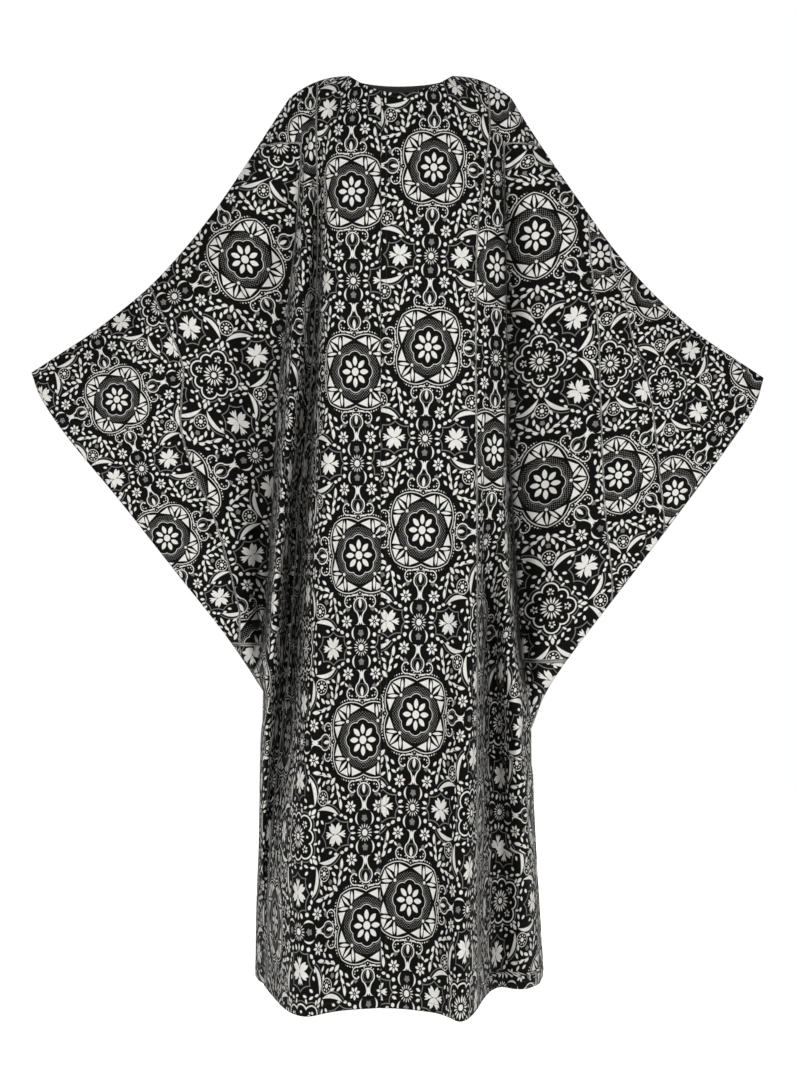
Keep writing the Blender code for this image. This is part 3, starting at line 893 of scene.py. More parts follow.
class NodeBoard:
    """The nodes of one material."""

    def __init__(self, name: str) -> None:
        """Start an empty material.

        Args:
            name: Name of the UV map, or of the material.
        """
        self.material = bpy.data.materials.new(name)
        self.material.use_nodes = True
        self.tree = self.material.node_tree
        self.tree.nodes.clear()

    def node(
        self,
        kind: str,
        settings: Mapping[str, Setting] | None = None,
        sockets: Mapping[Union[str, int], SocketValue] | None = None,
    ) -> bpy.types.Node:
        """Place a node.

        Args:
            kind: The node's type.
            settings: Its properties, set first.
            sockets: Values or links of its sockets, by name or number.

        Returns:
            The new node.
        """
        node = self.tree.nodes.new(kind)
        for name, setting in (settings or {}).items():
            setattr(node, name, setting)
        for key, value in (sockets or {}).items():
            if isinstance(value, Value):
                self.tree.links.new(value.socket, node.inputs[key])
            else:
                node.inputs[key].default_value = value
        return node

    def math(self, operation: str, *values: Number, clamp: bool = False) -> Value:
        """Work out a number.

        Args:
            operation: The Math node's operation.
            values: Its inputs in order.
            clamp: Whether the result is kept from 0 to 1.

        Returns:
            The result.
        """
        settings = {"operation": operation, "use_clamp": clamp}
        node = self.node("ShaderNodeMath", settings, dict(enumerate(values)))
        return Value(self, node.outputs[0])

    def vector(self, operation: str, *values: SocketValue, output: int = 0) -> Value:
        """Work on vectors.

        Args:
            operation: The Vector Math node's operation.
            values: Its inputs in order.
            output: 0 for a vector, 1 for a number.

        Returns:
            The result.
        """
        node = self.node("ShaderNodeVectorMath", {"operation": operation}, dict(enumerate(values)))
        return Value(self, node.outputs[output])

    def blend(self, share: Number, first: SocketValue, second: SocketValue) -> Value:
        """Mix two colours.

        Args:
            share: How much of the second.
            first: The first colour.
            second: The second colour.

        Returns:
            The mixed colour.
        """
        settings = {"data_type": "RGBA", "blend_type": "MIX"}
        node = self.node("ShaderNodeMix", settings, {0: share, 6: first, 7: second})
        return Value(self, node.outputs[2])


@dataclass(frozen=True)
class PrintScale:
    """Size of the print's repeat on the flat cloth, in metres."""

    across: float = 0.228
    down: float = 0.274
    half: float = 92.0
    edge: float = 0.45
    thinner: float = 0.10
    join: float = 0.003


class StarPrint:
    """A tile-like print of star medallions, flowers and leaves, drawn on the flat cloth.

    Places are in units of which half a repeat has 92, with a medallion at (0, 0). The repeat
    mirrors about both axes and its diagonal, so motifs are drawn where 0 <= b <= a <= 92.
    """

    def __init__(
        self, board: NodeBoard, scale: PrintScale, pleats: Pleats
    ) -> None:
        """Fold the flat cloth's places into one eighth of the repeat.

        Args:
            board: The material's nodes.
            scale: Size of the repeat.
            pleats: The piece's pleats.
        """
        self.board = board
        self.scale = scale
        u, v = self.pleated(*self.parts("flat_cloth"), pleats)
        units = 2 * scale.half
        u = (u * (units / scale.across)).bounce(scale.half)
        v = (v * (units / scale.down)).bounce(scale.half)
        self.a = u.larger(v)
        self.b = u.smaller(v)
        joined = board.node("ShaderNodeCombineXYZ", None, {0: self.a, 1: self.b})
        self.place = Value(board, joined.outputs[0])
        self.light: Value | None = None
        self.pale: Value | None = None

    def parts(self, name: str) -> tuple[Value, Value]:
        """The two numbers of a UV map.

        Args:
            name: Name of the UV map, or of the material.

        Returns:
            Its two parts.
        """
        flat = self.board.node("ShaderNodeUVMap", {"uv_map": name})
        link = {0: Value(self.board, flat.outputs[0])}
        parts = self.board.node("ShaderNodeSeparateXYZ", None, link)
        return Value(self.board, parts.outputs[0]), Value(self.board, parts.outputs[1])

    def pleated(self, u: Value, v: Value, pleats: Pleats) -> tuple[Value, Value]:
        """Start the print anew beyond each pleat.

        Args:
            u: Flat place across, on the body.
            v: Flat place down, on the body.
            pleats: The piece's pleats.

        Returns:
            Flat places all over the piece.
        """
        if not pleats.strips:
            return u, v
        gaps = (*self.parts("inner_gaps"), *self.parts("outer_gaps"))
        x, z = self.parts("worn_places")
        for strip, gap in zip(pleats.strips, gaps):
            share = (gap * (1 / self.scale.join) + 0.5).held()
            across, down = strip.rows()
            own_u = x * across[0] + (z * across[1] - across[2])
            own_v = x * down[0] + (z * down[1] - down[2])
            u = u + (own_u - u) * share
            v = v + (own_v - v) * share
        return u, v

    def show(self, *shapes: Value) -> None:
        """Add light shapes to the print."""
        for shape in shapes:
            self.light = shape if self.light is None else self.light.larger(shape)

    def show_pale(self, *shapes: Value) -> None:
        """Add shapes in the half tone."""
        for shape in shapes:
            self.pale = shape if self.pale is None else self.pale.larger(shape)

    def reach(self, a: float, b: float) -> Value:
        """Distance from a place.

        Args:
            a: Larger place in the repeat.
            b: Smaller place in the repeat.

        Returns:
            The distance.
        """
        return self.board.vector("DISTANCE", self.place, (a, b, 0.0), output=1)

    def along(self, turn: float, start: float) -> Value:
        """How far a point lies in the direction of turn degrees, beyond start.

        Args:
            turn: Direction in degrees from the a axis.
            start: Where it is 0.

        Returns:
            The distance.
        """
        way = (math.cos(math.radians(turn)), math.sin(math.radians(turn)), 0.0)
        return self.board.vector("DOT_PRODUCT", self.place, way, output=1) - start

    def dot(self, a: float, b: float, radius: float) -> Value:
        """A round dot.

        Args:
            a: Larger place in the repeat.
            b: Smaller place in the repeat.
            radius: Its radius.

        Returns:
            How far a point lies inside.
        """
        return radius - self.reach(a, b)

    def ring(self, a: float, b: float, radius: float, thick: float) -> Value:
        """A ring line.

        Args:
            a: Larger place in the repeat.
            b: Smaller place in the repeat.
            radius: Its radius.
            thick: Its thickness.

        Returns:
            How far a point lies inside.
        """
        return thick / 2 - abs(self.reach(a, b) - radius)

    def leaf(self, a: float, b: float, turn: float, long: float, wide: float) -> Value:
        """A pointed leaf or petal.

        Args:
            a: Its middle along the axis.
            b: Its middle off the axis.
            turn: Its direction in degrees.
            long: Half its length.
            wide: Half its width.

        Returns:
            How far a point lies inside it.
        """
        radius = (long * long + wide * wide) / (2 * wide)
        off = radius - wide
        da = -math.sin(math.radians(turn)) * off
        db = math.cos(math.radians(turn)) * off
        return radius - self.reach(a + da, b + db).larger(self.reach(a - da, b - db))

    def bow(
        self, start: tuple[float, float], end: tuple[float, float], sag: float, thick: float
    ) -> Value:
        """A curved line between two places.

        Args:
            start: Its first end.
            end: Its second end.
            sag: How far its middle lies to the left of the straight way.
            thick: Its thickness.

        Returns:
            How far a point lies inside it.
        """
        chord = math.dist(start, end)
        turn = math.degrees(math.atan2(end[1] - start[1], end[0] - start[0]))
        way = ((end[0] - start[0]) / chord, (end[1] - start[1]) / chord)
        middle = ((start[0] + end[0]) / 2, (start[1] + end[1]) / 2)
        radius = (chord * chord / 4 + sag * sag) / (2 * abs(sag))
        back = (radius - abs(sag)) * (-1 if sag > 0 else 1)
        centre = (middle[0] - way[1] * back, middle[1] + way[0] * back)
        line = self.ring(centre[0], centre[1], radius, thick)
        start_along = middle[0] * way[0] + middle[1] * way[1]
        inside = chord / 2 - abs(self.along(turn, start_along))
        side = -middle[0] * way[1] + middle[1] * way[0]
        near = self.along(turn + 90, side) * (1 if sag > 0 else -1) + 1.0
        return line.smaller(inside).smaller(near)

    def blade(
        self, start: tuple[float, float], end: tuple[float, float], sag: float, wide: float
    ) -> Value:
        """A curved leaf that thins out to both ends.

        Args:
            start: Its first end.
            end: Its second end.
            sag: How far its middle lies to the left of the straight way.
            wide: Half its width in the middle.

        Returns:
            How far a point lies inside it.
        """
        half = math.dist(start, end) / 2
        turn = math.degrees(math.atan2(end[1] - start[1], end[0] - start[0]))
        way = ((end[0] - start[0]) / (2 * half), (end[1] - start[1]) / (2 * half))
        middle = ((start[0] + end[0]) / 2, (start[1] + end[1]) / 2)
        radius = (half * half + sag * sag) / (2 * abs(sag))
        back = (radius - abs(sag)) * (-1 if sag > 0 else 1)
        off = abs(self.reach(middle[0] - way[1] * back, middle[1] + way[0] * back) - radius)
        t = self.along(turn, middle[0] * way[0] + middle[1] * way[1])
        side = -middle[0] * way[1] + middle[1] * way[0]
        near = self.along(turn + 90, side) * (1 if sag > 0 else -1) + 2.0
        return (wide - t * t * (wide / (half * half)) - off).smaller(near)

    def triangle(self, corners: Sequence[tuple[float, float]]) -> Value:
        """A triangle through three corners.

        Args:
            corners: Its three corners.

        Returns:
            How far a point lies inside.
        """
        middle = (sum(c[0] for c in corners) / 3, sum(c[1] for c in corners) / 3)
        shape: Value | None = None
        for first, second in zip(corners, (*corners[1:], corners[0])):
            turn = math.degrees(math.atan2(second[0] - first[0], -(second[1] - first[1])))
            way = (math.cos(math.radians(turn)), math.sin(math.radians(turn)))
            start = first[0] * way[0] + first[1] * way[1]
            if middle[0] * way[0] + middle[1] * way[1] < start:
                turn += 180
                start = -start
            side = self.along(turn, start)
            shape = side if shape is None else shape.smaller(side)
        return shape

    def flower(
        self, a: float, b: float, petals: int, inner: float, outer: float, wide: float
    ) -> Value:
        """Petals all round a place.

        Args:
            a: Its middle along the axis.
            b: Its middle off the axis.
            petals: How many.
            inner: Where the petals start.
            outer: Where they end.
            wide: Half a petal's width.

        Returns:
            How far a point lies inside a petal.
        """
        angle = self.board.math("ARCTAN2", self.b - b, self.a - a).bounce(math.pi / petals)
        radius = self.reach(a, b)
        x = radius * self.board.math("COSINE", angle) - (inner + outer) / 2
        y = radius * self.board.math("SINE", angle)
        long = (outer - inner) / 2
        return wide - x * x * (wide / (long * long)) - y

    def medallion(self) -> None:
        """Star medallion: flower, scalloped lines, stippled ring, and a frame of triangles."""
        self.show(self.dot(0, 0, 4.2))
        self.show(self.leaf(10.8, 0, 0, 5.2, 2.7), self.leaf(7.6, 7.6, 45, 5.2, 2.7))
        scallop = (8.6 - self.reach(12.3, 0)).larger(8.6 - self.reach(8.7, 8.7))
        line = (0.45 - abs(scallop)).larger(0.12 - abs(scallop + 1.9))
        self.show(line.smaller(self.reach(0, 0) - 15.5))
        stipple = self.board.math("SINE", self.a * 2.1) * self.board.math("SINE", self.b * 2.1)
        band = 3.2 - abs(self.reach(0, 0) - 25.0)
        self.show_pale((stipple - 0.50).smaller(band))
        self.show(self.dot(18.8, 18.8, 1.7), self.leaf(25.4, 25.4, 45, 7.2, 1.6))
        self.show(self.leaf(28.4, 17.8, -3, 6.6, 1.6))
        self.show(self.triangle(((31.4, 29.2), (35.2, 19.6), (27.0, 20.4))))
        self.show(self.triangle(((35.6, 14.4), (32.0, 2.8), (26.2, 14.8))))
        arch = 37.8 - (self.b - 14) * (self.b - 14) * 0.0185
        off = self.a - arch
        self.show((0.48 - abs(off) * 0.88).smaller(32.4 - self.b))
        step = self.b.bounce(1.55)
        beads = 0.80 - self.board.math("SQRT", (off - 2.9) * (off - 2.9) + step * step)
        self.show(beads.smaller(27.5 - self.b))

    def palmette(self) -> None:
        """Bulb on the axis with its curls, neck and star."""
        self.show(self.leaf(48.0, 0, 0, 5.0, 2.0))
        self.show(self.ring(50.4, 0, 7.8, 1.4).smaller(56.2 - self.a))
        self.show(self.ring(65.2, 16.6, 14.9, 1.6).smaller(65.4 - self.a)
                  .smaller(self.a - 55.6).smaller(7.0 - self.b))
        self.show(self.ring(65.2, 6.9, 5.2, 1.8).smaller(self.a - 65.0).smaller(6.6 - self.b)
                  .smaller(69.6 - self.a))
        self.show(self.leaf(64.6, 0, 0, 4.6, 1.8))
        self.show_pale(self.ring(50.4, 0, 5.6, 0.5).smaller(56.0 - self.a))
        self.show(self.ring(46.0, 13.2, 5.7, 1.3).smaller(self.b - 11.6))
        self.show(self.blade((41.2, 12.6), (40.4, 0.2), -1.2, 0.9), self.dot(50.4, 11.6, 1.1))
        self.show(self.dot(43.9, 12.6, 0.9), self.dot(44.6, 15.6, 0.8), self.dot(47.2, 16.2, 0.7))
        self.show(self.dot(43.6, 6.8, 0.75), self.dot(41.8, 4.2, 0.75))
        self.show_pale(self.flower(53.4, 15.4, 5, 0.0, 3.0, 1.2))
        self.show(self.flower(66.2, 17.0, 7, 1.6, 7.0, 1.45), self.dot(66.2, 17.0, 0.8))
        self.show(self.blade((71.4, 7.4), (84.6, 7.0), 3.2, 1.15))
        self.show_pale(self.flower(77.6, 0, 5, 0.0, 3.8, 1.5))

    def sun(self) -> None:
        """Sun daisy between two medallions, with seeds round it."""
        self.show(self.dot(92, 0, 3.3), self.flower(92, 0, 16, 4.4, 9.2, 0.62))
        self.show(self.leaf(86.8, 15.2, 70, 3.1, 1.7), self.leaf(92, 14.4, 90, 3.4, 1.1))
        self.show(self.dot(79.4, 16.7, 2.2), self.leaf(76.2, 23.6, 120, 2.7, 1.8))
        self.show(self.leaf(73.6, 29.0, 95, 2.5, 1.6))

    def clover(self) -> None:
        """Clover of four hearts and two leaves in a thin scalloped frame."""
        self.show(self.leaf(86.4, 40.2, 154, 6.6, 2.6), self.leaf(87.6, 42.0, 135, 6.2, 2.5))
        self.show(self.leaf(86.4, 34.8, -154, 6.6, 2.6), self.leaf(87.6, 33.0, -135, 6.2, 2.5))
        self.show(self.leaf(92, 46.0, 90, 5.4, 1.7), self.leaf(92, 29.0, 90, 5.4, 1.7))
        self.show(self.leaf(90.2, 47.4, 112, 4.0, 1.0), self.leaf(90.2, 27.6, -112, 4.0, 1.0))
        self.show_pale(self.bow((92.0, 16.8), (80.4, 20.6), -1.9, 1.0))
        self.show_pale(self.bow((80.4, 20.6), (75.6, 36.6), -1.9, 1.0))
        self.show_pale(self.bow((75.6, 36.6), (79.6, 51.8), -1.9, 1.0))
        self.show_pale(self.bow((79.6, 51.8), (92.0, 57.6), -1.9, 1.0))
        self.show(self.leaf(72.6, 37.6, 95, 2.5, 1.5), self.leaf(74.6, 45.0, 110, 2.6, 1.5))
        self.show(self.leaf(78.4, 56.6, 140, 2.7, 1.6), self.leaf(86.4, 61.6, 160, 2.6, 1.5))

    def scrolls(self) -> None:
        """Curved leaf, dotted rosette and sprigs between the medallions' corners."""
        self.show(self.blade((73.4, 32.4), (66.6, 62.6), 4.2, 2.3))
        self.show_pale(self.bow((71.0, 31.0), (62.6, 58.6), 5.0, 0.8))
        self.show(self.dot(54.8, 54.8, 2.3), self.flower(54.8, 54.8, 9, 3.6, 5.8, 0.75))
        self.show(self.ring(54.8, 54.8, 7.4, 0.9))
        self.show_pale(self.flower(45.8, 45.8, 5, 0.0, 2.9, 1.3))
        self.show(self.leaf(39.2, 39.2, 45, 4.6, 2.2))
        self.show(self.leaf(46.6, 39.4, 22, 3.9, 1.8), self.leaf(44.6, 33.2, -28, 3.6, 1.8))
        self.show(self.leaf(53.4, 40.8, 52, 3.6, 1.6), self.leaf(52.6, 32.0, -34, 4.0, 1.8))
        self.show(self.leaf(62.6, 29.6, -4, 5.4, 2.0), self.leaf(56.8, 24.6, -62, 3.4, 1.5))
        self.show(self.leaf(60.0, 37.4, 58, 3.5, 1.5), self.leaf(59.4, 46.0, 76, 3.4, 1.5))
        self.show(self.blade((40.0, 37.0), (62.0, 32.0), -1.6, 0.62))
        self.show(self.leaf(47.8, 26.4, -40, 3.2, 1.6), self.leaf(55.2, 19.6, 40, 2.6, 1.2))

    def rose(self) -> None:
        """Large daisy in a lobed frame, midway between four medallions."""
        self.show(self.dot(92, 92, 3.0), self.flower(92, 92, 16, 4.4, 12.0, 1.0))
        lobes = (7.6 - self.reach(79.6, 79.6)).larger(6.0 - self.reach(92, 76.2))
        lobes = lobes.larger(14.0 - self.reach(92, 92))
        self.show(0.85 - abs(lobes + 1.0))
        self.show(self.flower(80.0, 80.0, 6, 1.1, 4.2, 0.9), self.dot(92, 76.4, 1.5))
        self.show_pale(0.4 - abs(lobes + 4.4))
        self.show(self.leaf(67.6, 67.6, 45, 4.0, 2.0), self.leaf(70.6, 62.0, 8, 3.4, 1.5))
        self.show(self.leaf(78.8, 63.4, 20, 3.0, 1.5), self.leaf(72.4, 68.6, 70, 2.8, 1.4))
        self.show(self.leaf(85.0, 66.4, 100, 2.6, 1.2))

    def draw(self) -> tuple[Value, Value]:
        """Draw the whole repeat.

        Returns:
            Shares of the light ink and of the half tone.
        """
        self.medallion()
        self.palmette()
        self.sun()
        self.clover()
        self.scrolls()
        self.rose()
        sharp = 1 / self.scale.edge
        light = ((self.light - self.scale.thinner) * sharp + 0.5).held()
        pale = (self.pale * sharp + 0.5).held()
        return light, pale


@dataclass(frozen=True)
class PrintedCloth:
    """Light woven cloth, black with an off-white print on its right side."""

    name: str = "printed_cloth"
    ground: tuple[float, float, float, float] = (0.0022, 0.0022, 0.0020, 1.0)
    ink: tuple[float, float, float, float] = (0.760, 0.745, 0.710, 1.0)
    half_tone: tuple[float, float, float, float] = (0.190, 0.187, 0.177, 1.0)
    roughness: float = 0.82
    scale: PrintScale = PrintScale()

    def material(self, pleats: Pleats) -> bpy.types.Material:
        """Make the cloth's right side.

        Args:
            pleats: The pleats of its piece.

        Returns:
            The material.
        """
        board = NodeBoard(f"{self.name}_{pleats.name}")
        light, pale = StarPrint(board, self.scale, pleats).draw()
        toned = board.blend(pale, self.ground, self.half_tone)
        colour = board.blend(light, toned, self.ink)
        weave = Weave(board)
        shader = board.node("ShaderNodeBsdfPrincipled", None, {
            # Base Color: print and thread tint, darkened by painted fold shade.
            "Base Color": weave.tinted_with_painted_shade(colour),
            "Roughness": self.roughness,
            "Specular IOR Level": 0.12,
            "Normal": weave.bump(0.00012),
        })
        board.node("ShaderNodeOutputMaterial", None, {0: Value(board, shader.outputs[0])})
        return board.material


@dataclass(frozen=True)
class ReverseCloth:
    """The wrong side of the printed cloth, where the print hardly shows."""

    name: str = "printed_cloth_reverse"
    dark: tuple[float, float, float, float] = (0.020, 0.020, 0.019, 1.0)
    pale: tuple[float, float, float, float] = (0.060, 0.059, 0.056, 1.0)
    roughness: float = 0.88

    def material(self) -> bpy.types.Material:
        """Make the cloth's wrong side.

        Returns:
            The material.
        """
        board = NodeBoard(self.name)
        flat = board.node("ShaderNodeUVMap", {"uv_map": "flat_cloth"})
        cloud = board.node("ShaderNodeTexNoise", {"noise_dimensions": "2D"}, {
            "Vector": Value(board, flat.outputs[0]), "Scale": 90.0, "Detail": 2.0,
        })
        share = ((Value(board, cloud.outputs[0]) - 0.46) * 7.0).held()
        weave = Weave(board)
        shader = board.node("ShaderNodeBsdfPrincipled", None, {
            # Base Color: mottled reverse, darkened by painted fold shade.
            "Base Color": weave.tinted_with_painted_shade(board.blend(share, self.dark, self.pale)),
            "Roughness": self.roughness,
            "Specular IOR Level": 0.25,
            "Normal": weave.bump(0.00012),
        })
        board.node("ShaderNodeOutputMaterial", None, {0: Value(board, shader.outputs[0])})
        return board.material


@dataclass(frozen=True)
class PlainCloth:
    """Plain charcoal cloth of the facing and thread."""

    name: str = "plain_cloth"
    colour: tuple[float, float, float, float] = (0.038, 0.0375, 0.0345, 1.0)
    roughness: float = 0.86

    def material(self) -> bpy.types.Material:
        """Make the plain cloth.

        Returns:
            The material.
        """
        board = NodeBoard(self.name)
        weave = Weave(board)
        shader = board.node("ShaderNodeBsdfPrincipled", None, {
            # Base Color: plain charcoal, darkened by painted fold shade.
            "Base Color": weave.tinted_with_painted_shade(board.blend(1.0, self.colour, self.colour)),
            "Roughness": self.roughness,
            "Specular IOR Level": 0.25,
            "Normal": weave.bump(0.00015),
        })
        board.node("ShaderNodeOutputMaterial", None, {0: Value(board, shader.outputs[0])})
        return board.material


class Weave:
    """Fine plain weave: threads up and across the flat cloth, a little uneven. It also multiplies
    the painted fold shade into the colour.
    """

    def __init__(self, board: NodeBoard, pitch: float = 0.00055) -> None:
        """Lay the threads out on the flat cloth.

        Args:
            board: The node board.
            pitch: Distance from thread to thread in metres.
        """
        self.board = board
        flat = board.node("ShaderNodeUVMap", {"uv_map": "flat_cloth"})
        self.flat = Value(board, flat.outputs[0])
        parts = board.node("ShaderNodeSeparateXYZ", None, {0: self.flat})
        turns = math.pi / pitch
        warp = board.math("SINE", Value(board, parts.outputs[0]) * turns)
        weft = board.math("SINE", Value(board, parts.outputs[1]) * turns)
        self.threads = warp * weft
        slub = board.node("ShaderNodeTexNoise", {"noise_dimensions": "2D"}, {
            "Vector": self.flat, "Scale": 260.0, "Detail": 3.0,
        })
        self.slub = Value(board, slub.outputs[0])

    def tinted_with_painted_shade(self, colour: Value) -> Value:
        """Let the cloth's colour vary from thread to thread, and darken it deep in its folds with
        painted shade from the fold_shade map.

        Args:
            colour: The cloth's colour.

        Returns:
            The colour with its thread tint and painted fold shade.
        """
        # Painted shade: the first part of the fold_shade map is a factor that darkens folds and
        # pleat roots.
        depth = self.board.node("ShaderNodeUVMap", {"uv_map": "fold_shade"})
        link = {0: Value(self.board, depth.outputs[0])}
        parts = self.board.node("ShaderNodeSeparateXYZ", None, link)
        shade = (self.slub * 0.30 + 0.85) * Value(self.board, parts.outputs[0])
        sockets = {0: colour, "Scale": shade}
        node = self.board.node("ShaderNodeVectorMath", {"operation": "SCALE"}, sockets)
        return Value(self.board, node.outputs[0])

    def bump(self, height: float) -> Value:
        """Raise the threads.

        Args:
            height: How high they stand, in metres.

        Returns:
            The normal.
        """
        relief = self.threads * 0.5 + self.slub * 1.5
        node = self.board.node("ShaderNodeBump", None, {
            "Strength": 0.5, "Distance": height, "Height": relief,
        })
        return Value(self.board, node.outputs[0])


def grid_faces(rows: int, columns: int, flip: bool = False) -> list[tuple[int, int, int, int]]:
    """List the quads of a grid.

    Args:
        rows: Rows of points.
        columns: Columns of points.
        flip: Whether they face the other way.

    Returns:
        Four point numbers for each quad.
    """
    faces = []
    for r in range(rows - 1):
        for c in range(columns - 1):
            k = r * columns + c
            face = (k, k + columns, k + columns + 1, k + 1)
            faces.append(face[::-1] if flip else face)
    return faces


def grid_area(points: np.ndarray) -> float:
    """Area of a grid of points, in its own units squared.

    Args:
        points: Points as (row, column, 2 or 3).

    Returns:
        The area.
    """
    if points.shape[-1] == 2:
        points = np.concatenate((points, np.zeros((*points.shape[:2], 1))), axis=-1)
    first = points[1:, 1:] - points[:-1, :-1]
    second = points[1:, :-1] - points[:-1, 1:]
    return float(np.linalg.norm(np.cross(first, second), axis=-1).sum() / 2)


def length_along(points: np.ndarray, column: int) -> np.ndarray:
    """Cloth length along each row, counted from one column.

    Args:
        points: Points as (row, column, xyz).
        column: Where it is 0.

    Returns:
        Signed lengths as (row, column).
    """
    steps = np.linalg.norm(np.diff(points, axis=1), axis=-1)
    lengths = np.concatenate((np.zeros((len(points), 1)), np.cumsum(steps, axis=1)), axis=1)
    return lengths - lengths[:, column][:, None]


def depth_of_folds(points: np.ndarray, layer: Layer, slope: float = 1.7) -> np.ndarray:
    """How deep each point lies in a fold, seen from outside its layer.

    Args:
        points: Points as (row, column, xyz).
        layer: Front or back.
        slope: How steeply light falls into a fold.

    Returns:
        Depths in metres as (row, column).
    """
    depths = []
    for row in points:
        y = row[:, 1] * layer.value
        apart = np.abs(row[:, 0][:, None] - row[:, 0][None, :])
        depths.append((y[None, :] - apart * slope).max(axis=1) - y)
    return np.array(depths)


def outwards_of(points: np.ndarray) -> np.ndarray:
    """Unit normals of a grid that runs from the wearer's right to left and downwards.

    Args:
        points: Points as (row, column, 2 or 3).

    Returns:
        Normals as (row, column, 3).
    """
    along = np.gradient(points, axis=1)
    down = np.gradient(points, axis=0)
    normal = np.cross(down, along)
    return normal / np.maximum(np.linalg.norm(normal, axis=-1, keepdims=True), 1e-12)


@dataclass
class ClothPiece:
    """One sewn piece of cloth: its points, its flat cut, and its finish."""

    name: str
    node: str
    layer: Layer
    points: np.ndarray
    flat: np.ndarray
    finish: tuple[bpy.types.Material, bpy.types.Material]
    slot: str = "printed_cloth"
    thickness: float = 0.0007
    extra_maps: Mapping[str, np.ndarray] = field(default_factory=dict)

    def build(self) -> bpy.types.Object:
        """Make the piece as a thin shell that carries its flat places.

        Returns:
            The object.
        """
        rows, columns, _ = self.points.shape
        faces = grid_faces(rows, columns, flip=self.layer is Layer.BACK)
        mesh = bpy.data.meshes.new(self.name)
        mesh.from_pydata(self.points.reshape(-1, 3).tolist(), [], faces)
        corner = np.empty(len(mesh.loops), dtype=int)
        mesh.loops.foreach_get("vertex_index", corner)
        for name, places in {"flat_cloth": self.flat, **self.extra_maps}.items():
            layer = mesh.uv_layers.new(name=name)
            layer.data.foreach_set("uv", places.reshape(-1, 2)[corner].ravel())
        mesh.polygons.foreach_set("use_smooth", np.ones(len(mesh.polygons), dtype=bool))
        for material in self.finish:
            mesh.materials.append(material)
        piece = bpy.data.objects.new(self.name, mesh)
        bpy.context.scene.collection.objects.link(piece)
        wall = piece.modifiers.new("wall", "SOLIDIFY")
        wall.thickness = self.thickness
        wall.offset = 0.0
        wall.use_even_offset = False
        wall.material_offset = 1
        wall.material_offset_rim = 0
        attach(piece, "root")
        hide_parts(self.node)
        LOG.info("%s: %d points, %.2f square metres", self.name, rows * columns,
                 grid_area(self.points))
        return piece

    def declare(
        self, cut: tuple[float, float]
    ) -> None:
        """State the piece's flat cut as a sheet, with the area of the cloth that is modelled.

        Args:
            cut: Width and length of the flat cloth.
        """
        area = min(grid_area(self.points), cut[0] * cut[1])
        LOG.info("%s: cut %.3f by %.3f m, %.3f square metres", self.name, *cut, area)


@dataclass
class TurnedHem:
    """Cloth turned in along an edge, sewn with a row of stitches near its inner end."""

    lines: np.ndarray
    outwards: np.ndarray
    lift: float = 0.0010
    roll: float = 0.0006
    stitch: float = 0.0026
    pitch: float = 0.0036
    thread: float = 0.00032
    above: float = 0.0003
    sewn_share: float = 0.25

    def strip(self) -> np.ndarray:
        """Points of the turned cloth, as (line, place, xyz), from the edge inwards.

        Returns:
            The points.
        """
        edge, up = self.lines[0], self.outwards[0]
        away = edge - self.lines[1]
        away = away / np.maximum(np.linalg.norm(away, axis=-1, keepdims=True), 1e-9)
        rolled = edge + away * self.roll - up * (self.lift / 2)
        inside = self.lines - self.outwards * self.lift
        last = self.lines[-1] - self.outwards[-1] * (self.lift / 3)
        return np.concatenate((edge[None], rolled[None], inside, last[None]))

    def stitches(self) -> tuple[np.ndarray, list[tuple[int, int, int, int]]]:
        """Short straight stitches on the outside of the cloth.

        Returns:
            Their corner points and faces.
        """
        path = mix(self.lines[-1], self.lines[-2], self.sewn_share)
        up = mix(self.outwards[-1], self.outwards[-2], self.sewn_share)
        lengths = np.linalg.norm(np.diff(path, axis=0), axis=-1)
        places = np.concatenate(([0.0], np.cumsum(lengths)))
        starts = np.arange(self.pitch, places[-1] - self.stitch, self.pitch)
        points: list[np.ndarray] = []
        for offset in (0.0, self.stitch):
            at = starts + offset
            middle = np.stack([np.interp(at, places, path[:, k]) for k in range(3)], axis=-1)
            normal = np.stack([np.interp(at, places, up[:, k]) for k in range(3)], axis=-1)
            ahead = np.stack([np.interp(at + self.stitch, places, path[:, k])
                              for k in range(3)], axis=-1) - middle
            beside = np.cross(ahead, normal)
            beside /= np.maximum(np.linalg.norm(beside, axis=-1, keepdims=True), 1e-9)
            base = middle + normal * self.above
            points += [base - beside * self.thread, base + normal * self.thread,
                       base + beside * self.thread]
        corners = np.stack(points, axis=1).reshape(-1, 3)
        sides = ((0, 1, 4, 3), (1, 2, 5, 4), (2, 0, 3, 5), (0, 2, 1), (3, 4, 5))
        faces = []
        for k in range(len(starts)):
            for face in sides:
                faces.append(tuple(6 * k + i for i in face))
        return corners, faces


